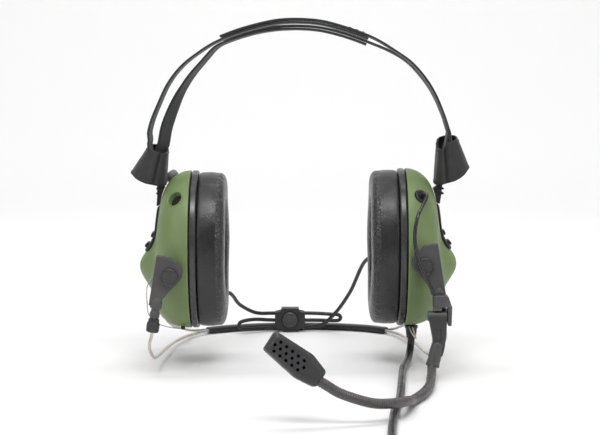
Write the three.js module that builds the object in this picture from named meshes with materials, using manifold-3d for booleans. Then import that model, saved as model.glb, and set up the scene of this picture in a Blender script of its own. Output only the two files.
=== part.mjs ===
import * as THREE from 'three';
import Module from 'manifold-3d';
import { mergeVertices } from 'three/addons/utils/BufferGeometryUtils.js';

// ---- driving dimensions, mm, +Z up, X across the head, -Y toward the wearer's face ----
const OFFSET = [0, 28, 0]; // moves the drawing so that the object's own box is centred on the origin
const CUP_A = 38; // half width of an ear cup, front to back
const CUP_B = 47.5; // half height of an ear cup
const DOME = 21.2; // depth of the dome outward of the rim
const LEAN = 0.07; // the dome leans in towards its top
const BAY = 29.2; // depth of the battery bay
const BAY_Z = -9.5; // centre of the bay below the cup's centre
const BAY_UP = 20.5; // the bay's spread above, below and sideways
const BAY_DOWN = 21.5;
const BAY_SIDE = 20;
const DOOR_Z = -10.5; // centre of the battery door
const WALL = 2.1;
const WIRE_R = 0.95;
const WIRE_END = 27; // how far the spring wires reach up into the arms
const BORE_R = 1.3;
const ARM_Y = 43; // middle plane of the flat arms, either side of the cup
const ARM_T = 4;
const STUD_R = 2.5;
const GAP = 0.3;
const CUPS = {
  left: { s: -1, rim: 65.2, zc: 68.4, pivot: [75.1, 56.9] },
  right: { s: 1, rim: 63.0, zc: 69.8, pivot: [71.9, 63.1] },
};
const LEAD_R = 2.2;
const CABLE_R = 1.25;
const BOOM_CABLE_R = 1.1;
const NECK_R = 2.65; // gooseneck

const wasm = await Module();
wasm.setup();
const { Manifold } = wasm;

// ---- helpers ----
const V = (x, y, z) => new THREE.Vector3(x, y, z);
function volume(g) {
  const p = g.getAttribute('position').array;
  const ix = g.index ? g.index.array : [...Array(p.length / 3).keys()];
  let v = 0;
  for (let i = 0; i < ix.length; i += 3) {
    const [a, b, c] = [ix[i] * 3, ix[i + 1] * 3, ix[i + 2] * 3];
    v += p[a] * (p[b + 1] * p[c + 2] - p[b + 2] * p[c + 1]) - p[a + 1] * (p[b] * p[c + 2] - p[b + 2] * p[c]) + p[a + 2] * (p[b] * p[c + 1] - p[b + 1] * p[c]);
  }
  return v / 6;
}
function out(g) { // merged, indexed and facing outward
  g = g.clone();
  g.deleteAttribute('normal');
  g.deleteAttribute('uv');
  g = mergeVertices(g, 1e-5);
  if (volume(g) < 0) {
    const a = g.index.array;
    for (let i = 0; i < a.length; i += 3) [a[i + 1], a[i + 2]] = [a[i + 2], a[i + 1]];
  }
  return g;
}
// rings: arrays of Vector3 with equal counts; closed ends are fans, loop joins the last ring to the first
function loft(rings, loop = false) {
  const n = rings[0].length, m = rings.length, pos = [], ix = [];
  for (const r of rings) for (const p of r) pos.push(p.x, p.y, p.z);
  for (let i = 0; i < (loop ? m : m - 1); i++) {
    const a = i * n, b = ((i + 1) % m) * n;
    for (let j = 0; j < n; j++) {
      const k = (j + 1) % n;
      ix.push(a + j, a + k, b + k, a + j, b + k, b + j);
    }
  }
  if (!loop) {
    for (const [i, flip] of [[0, true], [m - 1, false]]) {
      const c = rings[i].reduce((s, p) => s.add(p), V(0, 0, 0)).multiplyScalar(1 / n);
      const at = pos.length / 3;
      pos.push(c.x, c.y, c.z);
      for (let j = 0; j < n; j++) {
        const k = (j + 1) % n;
        if (flip) ix.push(at, i * n + k, i * n + j);
        else ix.push(at, i * n + j, i * n + k);
      }
    }
  }
  const g = new THREE.BufferGeometry();
  g.setAttribute('position', new THREE.Float32BufferAttribute(pos, 3));
  g.setIndex(ix);
  return out(g);
}
function curve(pts, n, closed = false) {
  return new THREE.CatmullRomCurve3(pts.map((p) => V(...p)), closed, 'centripetal').getSpacedPoints(n);
}
// sweep a section along points; side(i, t) is the direction of the section's first axis
function sweep(pts, section, side) {
  const m = pts.length, rings = [];
  let u = null;
  for (let i = 0; i < m; i++) {
    const t = pts[Math.min(i + 1, m - 1)].clone().sub(pts[Math.max(i - 1, 0)]).normalize();
    if (side) u = side(i, i / (m - 1)).clone();
    else if (!u) u = Math.abs(t.z) < 0.9 ? V(0, 0, 1) : V(0, 1, 0);
    u = u.clone().addScaledVector(t, -u.dot(t)).normalize();
    const w = t.clone().cross(u);
    const sec = typeof section === 'function' ? section(i, i / (m - 1)) : section;
    rings.push(sec.map(([a, b]) => pts[i].clone().addScaledVector(u, a).addScaledVector(w, b)));
  }
  return loft(rings);
}
const round = (r, n = 8) => [...Array(n)].map((_, i) => [r * Math.cos((2 * Math.PI * (i + 0.5)) / n), r * Math.sin((2 * Math.PI * (i + 0.5)) / n)]);
const rect = (w, h) => [[-w / 2, -h / 2], [w / 2, -h / 2], [w / 2, h / 2], [-w / 2, h / 2]];
function M(g) {
  g = out(g);
  return new Manifold(new wasm.Mesh({ numProp: 3, vertProperties: new Float32Array(g.getAttribute('position').array), triVerts: new Uint32Array(g.index.array) }));
}
function G(m) {
  const k = m.getMesh();
  const g = new THREE.BufferGeometry();
  const p = new Float32Array((k.vertProperties.length / k.numProp) * 3);
  for (let i = 0; i < p.length / 3; i++) for (let j = 0; j < 3; j++) p[i * 3 + j] = k.vertProperties[i * k.numProp + j];
  g.setAttribute('position', new THREE.BufferAttribute(p, 3));
  g.setIndex(new THREE.BufferAttribute(new Uint32Array(k.triVerts), 1));
  return g;
}
// a round bar between two points
function bar(a, b, r1, r2 = r1, n = 16) {
  return sweep([V(...a), V(...b)], (i) => round(i ? r2 : r1, n));
}
// lathe about a line: profile of [radius, distance along]
function turned(origin, dir, profile, n = 16) {
  const d = V(...dir).normalize();
  const u = Math.abs(d.z) < 0.9 ? V(0, 0, 1) : V(0, 1, 0);
  u.addScaledVector(d, -u.dot(d)).normalize();
  const w = d.clone().cross(u);
  return loft(profile.map(([r, h]) => round(Math.max(r, 0.02), n).map(([a, b]) => V(...origin).addScaledVector(d, h).addScaledVector(u, a).addScaledVector(w, b))));
}
// an outline in the XZ plane, thickened along Y from y0 to y1
function slabY(outline, y0, y1) {
  const s = new THREE.Shape(outline.map(([x, z]) => new THREE.Vector2(x, z)));
  const g = new THREE.ExtrudeGeometry(s, { depth: y1 - y0, bevelEnabled: false, curveSegments: 1 });
  g.applyMatrix4(new THREE.Matrix4().set(1, 0, 0, 0, 0, 0, -1, y1, 0, 1, 0, 0, 0, 0, 0, 1));
  return out(g);
}
// an ellipse plate normal to X from x0 to x1, with an optional elliptical hole
function plateX(a, b, x0, x1, zc, hole, n = 32) {
  const s = new THREE.Shape();
  for (let i = 0; i < n; i++) {
    const t = (2 * Math.PI * i) / n;
    i ? s.lineTo(a * Math.cos(t), b * Math.sin(t)) : s.moveTo(a, 0);
  }
  s.closePath();
  if (hole) {
    const h = new THREE.Path();
    for (let i = 0; i < n; i++) {
      const t = (-2 * Math.PI * i) / n;
      i ? h.lineTo(hole[0] * Math.cos(t), hole[1] * Math.sin(t)) : h.moveTo(hole[0], 0);
    }
    h.closePath();
    s.holes.push(h);
  }
  const g = new THREE.ExtrudeGeometry(s, { depth: Math.abs(x1 - x0), bevelEnabled: false, curveSegments: 1 });
  g.applyMatrix4(new THREE.Matrix4().set(0, 0, 1, Math.min(x0, x1), 1, 0, 0, 0, 0, 1, 0, zc, 0, 0, 0, 1));
  return out(g);
}
function arc(cx, cz, r, a0, a1, n) {
  return [...Array(n + 1)].map((_, i) => {
    const t = ((a0 + ((a1 - a0) * i) / n) * Math.PI) / 180;
    return [cx + r * Math.cos(t), cz + r * Math.sin(t)];
  });
}

// ---- the cup's outer surface ----
function depth(y, z) { // depth outward of the rim at (y, z) from the cup's centre
  const r = Math.min(1, Math.hypot(y / CUP_A, z / CUP_B));
  const c = z / CUP_B / Math.max(r, 1e-6);
  const f = Math.sqrt(Math.max(0, 1 - r ** (3.4 + (c > 0 ? 1.6 : 4.2) * c * c))); // fuller below than above
  const dome = (DOME - LEAN * Math.max(z, -10)) * f;
  const dz = z - BAY_Z;
  const bay = BAY * Math.exp(-((dz / (dz > 0 ? BAY_UP : BAY_DOWN)) ** 2) - Math.abs(y / BAY_SIDE) ** 3) * f;
  return (dome ** 4 + bay ** 4) ** 0.25;
}
function surface(cup, y, z) { // a point on the shell, in drawing coordinates
  return V(cup.s * (cup.rim + depth(y, z)), y, cup.zc + z);
}
function normal(cup, y, z) {
  const e = 0.2;
  const a = surface(cup, y + e, z).sub(surface(cup, y - e, z));
  const b = surface(cup, y, z + e).sub(surface(cup, y, z - e));
  const n = a.cross(b).normalize();
  return n.x * cup.s < 0 ? n.negate() : n;
}

const parts = {}; // node name -> [geometry, colour, group]
const add = (group, name, geometry, colour) => { parts[name] = [out(geometry), colour, group]; };
const GREEN = 0x7a8f63, BLACK = 0x1c1c1d, GREY = 0x4a494b, STEEL = 0xb9b4aa, RUBBER = 0x2c2c2e, FOAM = 0x141415;

const PORT = { y: -25.2, z: 32.4 }; // where the boom cable's socket sits on each cup
const MIC = { y: 10, z: 41.5 };

for (const [side, cup] of Object.entries(CUPS)) {
  const { s, rim, zc } = cup;
  const group = `${side}_cup`;
  const X = (h) => s * (rim + h);
  // shell
  const N = 28;
  const ring = (a, b, r, f) => [...Array(N)].map((_, j) => {
    const t = (2 * Math.PI * j) / N, y = a * r * Math.cos(t), z = b * r * Math.sin(t);
    return V(X(f(y, z, r)), y, zc + z);
  });
  const R = [0.02, 0.15, 0.29, 0.43, 0.6, 0.78, 0.92, 0.98];
  const rings = R.map((r) => ring(CUP_A, CUP_B, r, (y, z) => depth(y, z)));
  rings.push(ring(CUP_A, CUP_B, 1, () => 0));
  rings.push(ring(CUP_A - WALL, CUP_B - WALL, 1, () => 0));
  for (const r of [0.95, 0.8, 0.56, 0.36, 0.2, 0.02]) {
    rings.push(ring(CUP_A - WALL, CUP_B - WALL, r, (y, z) => {
      const d = depth((y * CUP_A) / (CUP_A - WALL), (z * CUP_B) / (CUP_B - WALL));
      return d - WALL * Math.min(1, d / 12);
    }));
  }
  let shell = M(loft(rings));
  const [px, pz] = cup.pivot;
  shell = shell.subtract(M(bar([s * px, -60, pz], [s * px, 60, pz], STUD_R + GAP, STUD_R + GAP, 12)));
  // socket hole for the boom cable, in the front upper side
  const pc = surface(cup, PORT.y, PORT.z), pn = normal(cup, PORT.y, PORT.z);
  const along = (c, n, h) => c.clone().addScaledVector(n, h).toArray();
  if (side === 'left') {
    // the unused socket on this side is a blind well moulded in the shell
    shell = shell.subtract(M(bar(along(pc, pn, -0.9), along(pc, pn, 6), 4.7, 4.7, 16)));
    shell = shell.add(M(turned(along(pc, pn, -4.8), pn.toArray(), [[5.2, 0], [5.5, 3.7]], 16))).subtract(M(turned(along(pc, pn, -3.7), pn.toArray(), [[4.0, 0], [4.75, 12]], 16)));
  } else {
    shell = shell.subtract(M(bar(along(pc, pn, -6), along(pc, pn, 4), 4.6, 4.6, 16)));
  }
  // battery door opening
  const doorZ = zc + DOOR_Z;
  shell = shell.subtract(M(bar([X(24), 0, doorZ], [X(40), 0, doorZ], 8.3, 8.3, 18)));
  if (side === 'left') {
    const mc = surface(cup, MIC.y, MIC.z), mn = normal(cup, MIC.y, MIC.z);
    shell = shell.subtract(M(bar(along(mc, mn, -6), along(mc, mn, 6), 2.3, 2.3, 10)));
  }
  // cable outlet in the lower rear, and the lead's outlet at the bottom on the right
  shell = shell.subtract(M(bar([X(7), 24, zc - 24], [X(7), 44, zc - 46], 2.3, 2.3, 10)));
  if (side === 'right') shell = shell.subtract(M(bar([X(4.5), 0, zc - 52], [X(4.5), 0, zc - 38], 2.9, 2.9, 12)));
  add(group, `${side}_shell`, G(shell), GREEN);

  // base plate between shell and cushion
  add(group, `${side}_base_plate`, plateX(CUP_A, CUP_B, X(-0.3), X(-4.6), zc, [24, 33], 32), 0x3a3a3d);
  // ear cushion: a padded ring with a flat seal face
  const S = [[-1, 0], [-1, 0.72], [-0.86, 0.92], [-0.6, 1], [0.3, 1], [0.75, 0.94], [0.95, 0.74], [1, 0.45], [1, 0]];
  const rings2 = [...Array(36)].map((_, i) => {
    const t = (2 * Math.PI * i) / 36;
    return S.map(([u, d]) => {
      const k = (u + 1) / 2, a = 18 + (37.4 - 18) * k, b = 27 + (46.8 - 27) * k;
      return V(X(-4.9 - 16.8 * d), a * Math.cos(t), zc + b * Math.sin(t));
    });
  });
  add(group, `${side}_cushion`, loft(rings2, true), BLACK);
  // foam liner behind the ear opening
  add(group, `${side}_foam_liner`, plateX(29.5, 39, X(0.4), X(4.4), zc, null, 24), FOAM);
  // speaker, with its magnet
  add(group, `${side}_speaker`, turned([X(5.4), 0, zc + 8], [s, 0, 0], [[19, 0], [19, 2], [16, 3], [7.4, 3.2], [7.4, 7]], 20), 0x8d8f93);
  // amplifier board
  add(group, `${side}_circuit_board`, slabY([[X(10.2), zc + 17], [X(11.6), zc + 17], [X(11.6), zc + 31], [X(10.2), zc + 31]], -10, 10), 0x1f5a35);
  // cell in the bay
  add(group, `${side}_battery`, turned([X(15.6), -11.4, doorZ], [0, 1, 0], [[6.9, 0], [7.4, 0.5], [7.4, 22.3], [6.9, 22.8]], 14), 0x5f6266);
  // round door over the bay
  const dh = depth(0, DOOR_Z);
  // its outer face is a piece of the shell's own surface, with a slot for a coin
  const cap = M(bar([X(dh - 6.4), 0, doorZ], [X(dh + 2), 0, doorZ], 7.8, 7.8, 24)).intersect(M(loft(rings.slice(0, 9))));
  add(`${side}_door`, `${side}_battery_door`, G(cap.subtract(M(slabY([[X(dh - 1.4), doorZ - 5.5], [X(dh + 2), doorZ - 5.5], [X(dh + 2), doorZ + 5.5], [X(dh - 1.4), doorZ + 5.5]], -0.9, 0.9)))), GREEN);
  // thin face panel on the outside, following the shell, with two push buttons
  const zs = [...Array(9)].map((_, i) => 25.5 - (i * 26.5) / 8);
  const prof = (off) => zs.map((z) => {
    const e = 0.3, dx = depth(0, z + e) - depth(0, z - e);
    const L = Math.hypot(dx, 2 * e);
    return [s * (rim + depth(0, z) + (off * 2 * e) / L), zc + z - (off * dx) / L];
  });
  let panel = M(slabY([...prof(0.3), ...prof(1.4).reverse()], -11, 11)).subtract(M(loft(rings.slice(0, 9))).translate([s * 0.45, 0, 0]));
  const B = [{ n: 'upper', z: 8.4 }, { n: 'lower', z: 1.9 }];
  for (const b of B) {
    const p = surface(cup, 0, b.z), n = normal(cup, 0, b.z), t = V(0, 1, 0), w = n.clone().cross(t);
    const block = (h0, h1, hy, hw) => loft([h0, h1].map((h) => [[-1, -1], [1, -1], [1, 1], [-1, 1]].map(([i, j]) => p.clone().addScaledVector(n, h).addScaledVector(t, i * hy).addScaledVector(w, j * hw))));
    panel = panel.subtract(M(block(-4, 6, 6.1, 2.05)));
    const q = (h, k) => [[-1, -0.7], [-0.8, -1], [0.8, -1], [1, -0.7], [1, 0.7], [0.8, 1], [-0.8, 1], [-1, 0.7]].map(([i, j]) => p.clone().addScaledVector(n, h).addScaledVector(t, i * 5.7 * k).addScaledVector(w, j * 1.7 * k));
    const under = M(loft(rings.slice(0, 9))).translate([n.x * 1.05, n.y * 1.05, n.z * 1.05]); // room for the press over the shell
    add(`${side}_button_${b.n}`, `${side}_button_${b.n}`, G(M(loft([q(1.0, 1), q(2.3, 1), q(2.8, 0.82)])).subtract(under)), 0x232325);
    b.dir = n;
  }
  add(group, `${side}_face_panel`, G(panel), 0x202022);
  // pivot studs through the arms into the shell
  for (const [name, f] of [['front', -1], ['rear', 1]]) {
    add(group, `${side}_pivot_${name}`, turned([s * px, f * (ARM_Y + ARM_T / 2 + 2.4), pz], [0, -f, 0], [[4.2, 0], [5.3, 0.7], [5.3, 2.1], [STUD_R, 2.1], [STUD_R, 16.5]], 16), 0x39393b);
  }
  // talk-through microphone on the left, the boom cable's grommet on the right
  if (side === 'left') {
    const mc = surface(cup, MIC.y, MIC.z), mn = normal(cup, MIC.y, MIC.z);
    add(group, 'ambient_mic', turned(along(mc, mn, -3), mn.toArray(), [[2, 0], [2, 3.7], [3.9, 3.9], [4.3, 5.2], [3.7, 7.4], [2, 8.4]], 16), 0x8b8d8e);
  } else {
    add(group, 'boom_cable_grommet', G(M(turned(along(pc, pn, -3), pn.toArray(), [[4.3, 0], [4.3, 3.2], [3.9, 3.9]], 20)).subtract(M(turned(along(pc, pn, -0.4), pn.toArray(), [[BOOM_CABLE_R + 0.35, 0], [BOOM_CABLE_R + 0.35, 8]], 12)))), RUBBER);
  }
  // strap hanger between the guard and the cup
  const hz = zc + 26.6;
  const tab = [[85.6, 113], [82.5, 113], [82.3, 107.2], [side === 'left' ? 80.6 : 79.8, 105.6], [rim + 13.5, 103], [rim + 19.3, hz], [rim + 20.7, hz], [side === 'left' ? 85.4 : 84.4, 101]].map(([x, z]) => [s * x, z]);
  add(group, `${side}_strap_hanger`, G(M(slabY(tab, -6.5, 2.5)).subtract(M(loft(rings.slice(0, 9))).translate([s * 0.4, 0, 0.3]))), 0x232325);
  // strap guard: a flared sleeve open at both ends
  const K = 20, top = [86.0, 6.4, 8.5], bot = [90.4, 10.8, 14];
  const gr = (k, inset) => [...Array(K)].map((_, j) => {
    const t = (2 * Math.PI * j) / K, c = Math.cos(t), q = Math.sin(t);
    const cx = top[0] + (bot[0] - top[0]) * k, ax = top[1] + (bot[1] - top[1]) * k - inset, ay = top[2] + (bot[2] - top[2]) * k - inset;
    const o = (c + 1) / 2; // 1 on the outer side
    const z0 = (side === 'left' ? 127.5 : 133.2) + 3 * o, z1 = (side === 'left' ? 107.6 : 108.4) + (side === 'left' ? 7.4 : 9.6) * o ** 2.2;
    return V(s * (cx + ax * c), -2 + ay * q, z0 + (z1 - z0) * k);
  });
  add(`${side}_arm`, `${side}_strap_guard`, loft([gr(0, 0), gr(0.33, 0), gr(0.67, 0), gr(1, 0), gr(1, 1.1), gr(0.67, 1.1), gr(0.33, 1.1), gr(0, 1.1)], true), 0x2b2829);
}

// ---- arms: flat plates either side of each cup; the neckband's wires slide in them ----
const ARM = {
  left: { s: -1, outline: [[-82.4, 69.8], [-74.2, 68.1], ...arc(-75.1, 59.6, 7.4, 72, -38, 5), [-80.6, 42.6], [-80.9, 40.8], [-87.3, 40.8]], axis: [[-85.45, 25], [-78.6, 69.9]] },
  right: { s: 1, outline: [[79.1, 76.8], [84.2, 46.2], [78.0, 46.2], [77.6, 48.0], ...arc(71.6, 65.7, 7.4, 216, 110, 5), [71.0, 75.2]], axis: [[83.0, 30.9], [76.0, 76.5]] },
};
for (const [side, a] of Object.entries(ARM)) {
  const [p0, p1] = a.axis, L = Math.hypot(p1[0] - p0[0], p1[1] - p0[1]);
  const d = [(p1[0] - p0[0]) / L, (p1[1] - p0[1]) / L];
  a.d = d;
  const at = (t, y) => [p0[0] + d[0] * t, y, p0[1] + d[1] * t];
  for (const [name, f] of [['front', -1], ['rear', 1]]) {
    const y = f * ARM_Y;
    let arm = M(slabY(a.outline, y - ARM_T / 2, y + ARM_T / 2));
    arm = arm.add(M(turned(at(8.2, y), [d[0], 0, d[1]], [[2.5, 0], [2.9, 0.8], [2.9, 3.4], [2.5, 4.2], [2.5, 5.4], [3.5, 6.2], [3.5, 10], [2, 12.5]], 12)));
    arm = arm.subtract(M(bar(at(0, y), at(60, y), BORE_R, BORE_R, 8)));
    const [px, pz] = CUPS[side].pivot;
    arm = arm.subtract(M(bar([a.s * px, y - 5, pz], [a.s * px, y + 5, pz], STUD_R + GAP, STUD_R + GAP, 14)));
    add(`${side}_arm`, `${side}_arm_${name}`, G(arm), GREY);
    // ferrule crimped on the neckband's wire, the arm's lower stop
    const fer = M(turned(at(0, y), [d[0], 0, d[1]], [[3.1, 0], [3.8, 0.9], [3.8, 5.2], [3.2, 6.2], [3.2, 7.9]], 12)).subtract(M(bar(at(-4, y), at(12, y), WIRE_R + GAP, WIRE_R + GAP, 8)));
    add('neckband', `${side}_ferrule_${name}`, G(fer), 0x3d3d40);
  }
  a.at = at;
}

// ---- neckband: two spring wires in a sleeve behind the head ----
const SLEEVE = [[-62, 99, 2.1], [-47, 108, 2.1], [-30, 114, 2.1], [-10, 117.3, 2.1], [9, 117.3, 2.1], [28, 114, 2.1], [45, 108, 2.1], [58, 99, 2.1]];
const mid = curve(SLEEVE, 14);
const flat = () => V(0, 0, 1);
const sleeveSec = (w, h) => [[-h, -w + 1.2], [-h, w - 1.2], [-h + 0.8, w - 0.3], [0, w], [h - 0.8, w - 0.3], [h, w - 1.2], [h, -w + 1.2], [h - 0.8, -w + 0.3], [0, -w], [-h + 0.8, -w + 0.3]];
function offsetLine(line, d) { // shifts a level line sideways
  return line.map((p, i) => {
    const t = line[Math.min(i + 1, line.length - 1)].clone().sub(line[Math.max(i - 1, 0)]);
    t.z = 0;
    t.normalize();
    return V(p.x - t.y * d, p.y + t.x * d, p.z);
  });
}
const front = offsetLine(mid, -1.55), rear = offsetLine(mid, 1.55);
const extend = (line) => {
  const a = line[0].clone().sub(line[1]).normalize(), b = line[line.length - 1].clone().sub(line[line.length - 2]).normalize();
  return [line[0].clone().addScaledVector(a, 6), ...line, line[line.length - 1].clone().addScaledVector(b, 6)];
};
let sleeve = M(sweep(mid, sleeveSec(3.4, 2.1), flat));
sleeve = sleeve.subtract(M(sweep(extend(front), round(WIRE_R + 0.3, 6), flat))).subtract(M(sweep(extend(rear), round(WIRE_R + 0.3, 6), flat)));
add('neckband', 'neckband_sleeve', G(sleeve), RUBBER);
function wire(line, y, leftMid, rightMid) {
  const A = ARM.left, B = ARM.right;
  const head = (q, t) => q.at(t, y);
  const left = [[...head(A, -2)], ...leftMid, line[0].toArray()];
  const right = [line[line.length - 1].toArray(), ...rightMid, [...head(B, -2)]];
  const l = curve(left, 11), r = curve(right, 11);
  return sweep([V(...head(A, WIRE_END)), V(...head(A, 6)), ...l.slice(0, -1), ...line, ...r.slice(1), V(...head(B, 6)), V(...head(B, WIRE_END))], round(WIRE_R, 6));
}
add('neckband', 'neckband_wire_front', wire(front, -ARM_Y, [[-87.2, -43, 16.5], [-85.6, -38, 9.6], [-84.8, -26, 7.4], [-82.2, 20, 4.9], [-77.7, 60, 2.9], [-69.6, 86, 2.1]], [[65.2, 84, 2.1], [69.8, 58, 3.1], [73.0, 38, 4.0], [77.5, -20, 8.0], [81.5, -36, 13.5], [84.2, -42.2, 22]]), STEEL);
add('neckband', 'neckband_wire_rear', wire(rear, ARM_Y, [[-84.9, 44, 18.6], [-81.4, 50, 13.6], [-76.6, 64, 9.4], [-70.6, 91.6, 3.2]], [[63.4, 93, 4.2], [66, 84, 7], [73.6, 63, 13.6], [80.6, 49, 19.2], [83.2, 44.2, 25.2]]), STEEL);

// ---- crossover cable, gathered behind the head in a keeper ----
const XC = [];
{
  const L = CUPS.left, Rr = CUPS.right;
  XC.push([-(L.rim + 7), 32.2, L.zc - 33], [-(L.rim + 4), 41, L.zc - 41], [-58, 52, 30], [-47, 62, 33], [-39.5, 84, 21.5], [-29, 101, 13.6], [-20, 108.6, 12.2], [-12, 109.9, 12.1], [-2, 109.9, 12.1], [12, 109.6, 11.9], [24, 108.2, 11.2], [27.6, 107.8, 9.2], [24, 108.2, 7.3], [12, 109.6, 7.2], [-2, 109.9, 7.2], [-12, 109.9, 7.2], [-21, 108.3, 7.6], [-31, 104.4, 8.6], [-38, 100.4, 8], [-41.3, 98.2, 5.6], [-38, 100.2, 2.9], [-31, 104.4, 2.2], [-21, 108.2, 2.2], [-12, 109.9, 2.3], [-2, 109.9, 2.4], [7, 109.6, 2.8], [15, 107, 4.6], [24, 100, 14], [33, 84, 30], [43, 58, 55], [52, 44, 58], [Rr.rim + 1, 41.5, 44], [Rr.rim + 7, 32.6, Rr.zc - 33]);
}
const cablePts = curve(XC, 58);
add('neckband', 'crossover_cable', sweep(cablePts, round(CABLE_R, 8)), BLACK);
let keeper = M(slabY([[-12.8, 0.9], [-11.6, 0], [-2, 0], [-0.8, 0.9], [-0.8, 1.5], [3.4, 2.2], [3.4, 13], [-0.8, 13.8], [-0.8, 15.8], [-12.8, 15.8], [-12.8, 13.8], [-17, 13], [-17, 2.2], [-12.8, 1.5]], 106, 122.6));
keeper = keeper.subtract(M(slabY([[-20, 0.75], [8, 0.75], [8, 13.9], [-20, 13.9]], 107.5, 112.0)));
keeper = keeper.subtract(M(slabY([[-20, -1], [8, -1], [8, 4.8], [-20, 4.8]], 112.6, 121.4)));
keeper = keeper.subtract(M(slabY([[-20, 7], [-20, 17], [8, 17], [8, 7]], 114.5, 124)));
keeper = keeper.subtract(M(bar([-6.8, 104, 8], [-6.8, 107.2, 8], 5.8, 5.8, 20)));
add('neckband', 'cable_keeper', G(keeper), 0x29292b);
add('keeper_button', 'keeper_button', turned([-6.8, 103.6, 8], [0, 1, 0], [[4.6, 0], [5.4, 0.6], [5.4, 2.2]], 20), 0x333336);

// ---- boom: clamp on the right arm's neck, swinging holder, gooseneck and microphone ----
const HINGE = [78.6, -50.2, 35.6];
const GOOSE = [[75.6, -51, 10.4], [75.5, -52.4, 7.2], [75.0, -58, 4.6], [73.6, -70, 3.6], [71.2, -88, 3.1], [66, -108, 2.86], [59.4, -124.5, 2.86], [54.6, -145, 6.6], [48.8, -157, 8.3], [37.5, -165, 9.8], [28.2, -168, 12.6], [18.8, -169.5, 16.4], [13.2, -171.5, 20.6]];
const gooseLine = curve(GOOSE, 38);
{
  const B = ARM.right, at = (t) => B.at(t, -ARM_Y), dir = [B.d[0], 0, B.d[1]];
  let clamp = M(slabY([[76.2, 40.9], [86.8, 40.9], [84.6, 47.4], [76.2, 47.4]], -53.6, -45.3));
  clamp = clamp.add(M(slabY([[84.5, 41.2], [84.5, 30.2], [86.6, 30.2], [86.9, 41.2]], -53.6, -47.3)));
  clamp = clamp.subtract(M(turned(at(8), dir, [[3.9, 0], [3.9, 12]], 16)));
  clamp = clamp.subtract(M(bar([74, HINGE[1], HINGE[2]], [90, HINGE[1], HINGE[2]], 1.85, 1.85, 14)));
  add('right_arm', 'boom_clamp', G(clamp), 0x454446);
  let holder = M(slabY([[73.0, 36.0], [84.0, 36.0], [83.9, 15.2], [81.6, 4.6], [78, 3.4], [73.6, 5.3], [76, 13], [76.4, 21], [74.5, 30.9]], -53.2, -47.3));
  holder = holder.add(M(bar([73.0, HINGE[1], HINGE[2]], [84.1, HINGE[1], HINGE[2]], 2.98, 2.98, 20)));
  holder = holder.add(M(turned([79.2, -54.2, 19.6], [-0.02, 0.04, -1], [[2.2, 0], [2.8, 0.6], [2.8, 12.4], [2.3, 13.2]], 16)));
  holder = holder.add(M(bar([82, HINGE[1], HINGE[2]], [86.9, HINGE[1], HINGE[2]], 1.5, 1.5, 14)));
  holder = holder.subtract(M(sweep([gooseLine[0].clone().add(V(0, 0.3, 2)), ...gooseLine.slice(0, 5)], round(NECK_R + 0.4, 10))));
  add('boom', 'boom_holder', G(holder), GREY);
}
add('boom', 'boom_gooseneck', sweep(gooseLine, round(NECK_R, 8), null), 0x3f3c3d);
{
  // microphone: a rounded bar in two shells, with an open grille on its front face
  const c = V(-2.6, -172.4, 33.2), u = V(-29.6, -1.5, 20.4).normalize(), n = V(0.08, -0.93, 0.35);
  n.addScaledVector(u, -n.dot(u)).normalize();
  const w = u.clone().cross(n);
  const half = 16.6, hw = 6.6;
  const out2 = [[-half, -2.6], [-half + 2.2, -5], [-half + 7, -hw], [half - 5, -hw], [half - 1.2, -5.4], [half, -2.2], [half, 2.6], [half - 1.6, 5.6], [half - 5, hw], [-half + 7, hw], [-half + 2.2, 5], [-half, 2.6]];
  const body = (h0, h1, k0, k1) => loft([h0, h1].map((h, i) => out2.map(([a, b]) => c.clone().addScaledVector(u, a * (i ? k1 : k0)).addScaledVector(w, b * (i ? k1 : k0)).addScaledVector(n, h))));
  const bodies = (hs) => loft(hs.map(([h, k]) => out2.map(([a, b]) => c.clone().addScaledVector(u, a - Math.sign(a) * k).addScaledVector(w, b - Math.sign(b) * k).addScaledVector(n, h))));
  let cover = M(bodies([[0.15, 0], [2.6, 0], [4.1, 1.2]]));
  const hole = (a, b) => bar(c.clone().addScaledVector(u, a).addScaledVector(w, b).addScaledVector(n, -3).toArray(), c.clone().addScaledVector(u, a).addScaledVector(w, b).addScaledVector(n, 7).toArray(), 0.8, 0.8, 5);
  for (const b of [-3, 0, 3]) for (const a of b ? [-6, -2, 2, 6, 10] : [-8, -4, 0, 4, 8, 12]) cover = cover.subtract(M(hole(a, b)));
  add('boom', 'mic_cover', G(cover), 0x2e2e30);
  const tail = V(13.2, -171.5, 20.6);
  let back = M(bodies([[-4.2, 1.4], [-2.8, 0], [-0.15, 0]]));
  const g0 = V(18.8, -169.5, 16.4);
  back = back.subtract(M(bar(tail.clone().lerp(g0, 1.3).toArray(), tail.clone().lerp(g0, -0.55).toArray(), NECK_R + 0.3, NECK_R + 0.3, 12)));
  add('boom', 'mic_housing', G(back), 0x333335);
}
{
  const cup = CUPS.right, pc = surface(cup, PORT.y, PORT.z), pn = normal(cup, PORT.y, PORT.z);
  const a = pc.clone().addScaledVector(pn, 0.3), b = pc.clone().addScaledVector(pn, 5.5);
  add('right_cup', 'boom_cable', sweep([a, ...curve([b.toArray(), [71.0, -36.8, 100.8], [67.6, -44.6, 92.5], [65.8, -46.6, 82.5], [66.2, -48.2, 74.5], [68.2, -51.0, 66.0], [72.4, -51.6, 56.6], [75.6, -51.0, 49.8], [76.0, -50.6, 47.8]], 24)], round(BOOM_CABLE_R, 8)), 0x29292b);
}

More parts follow.
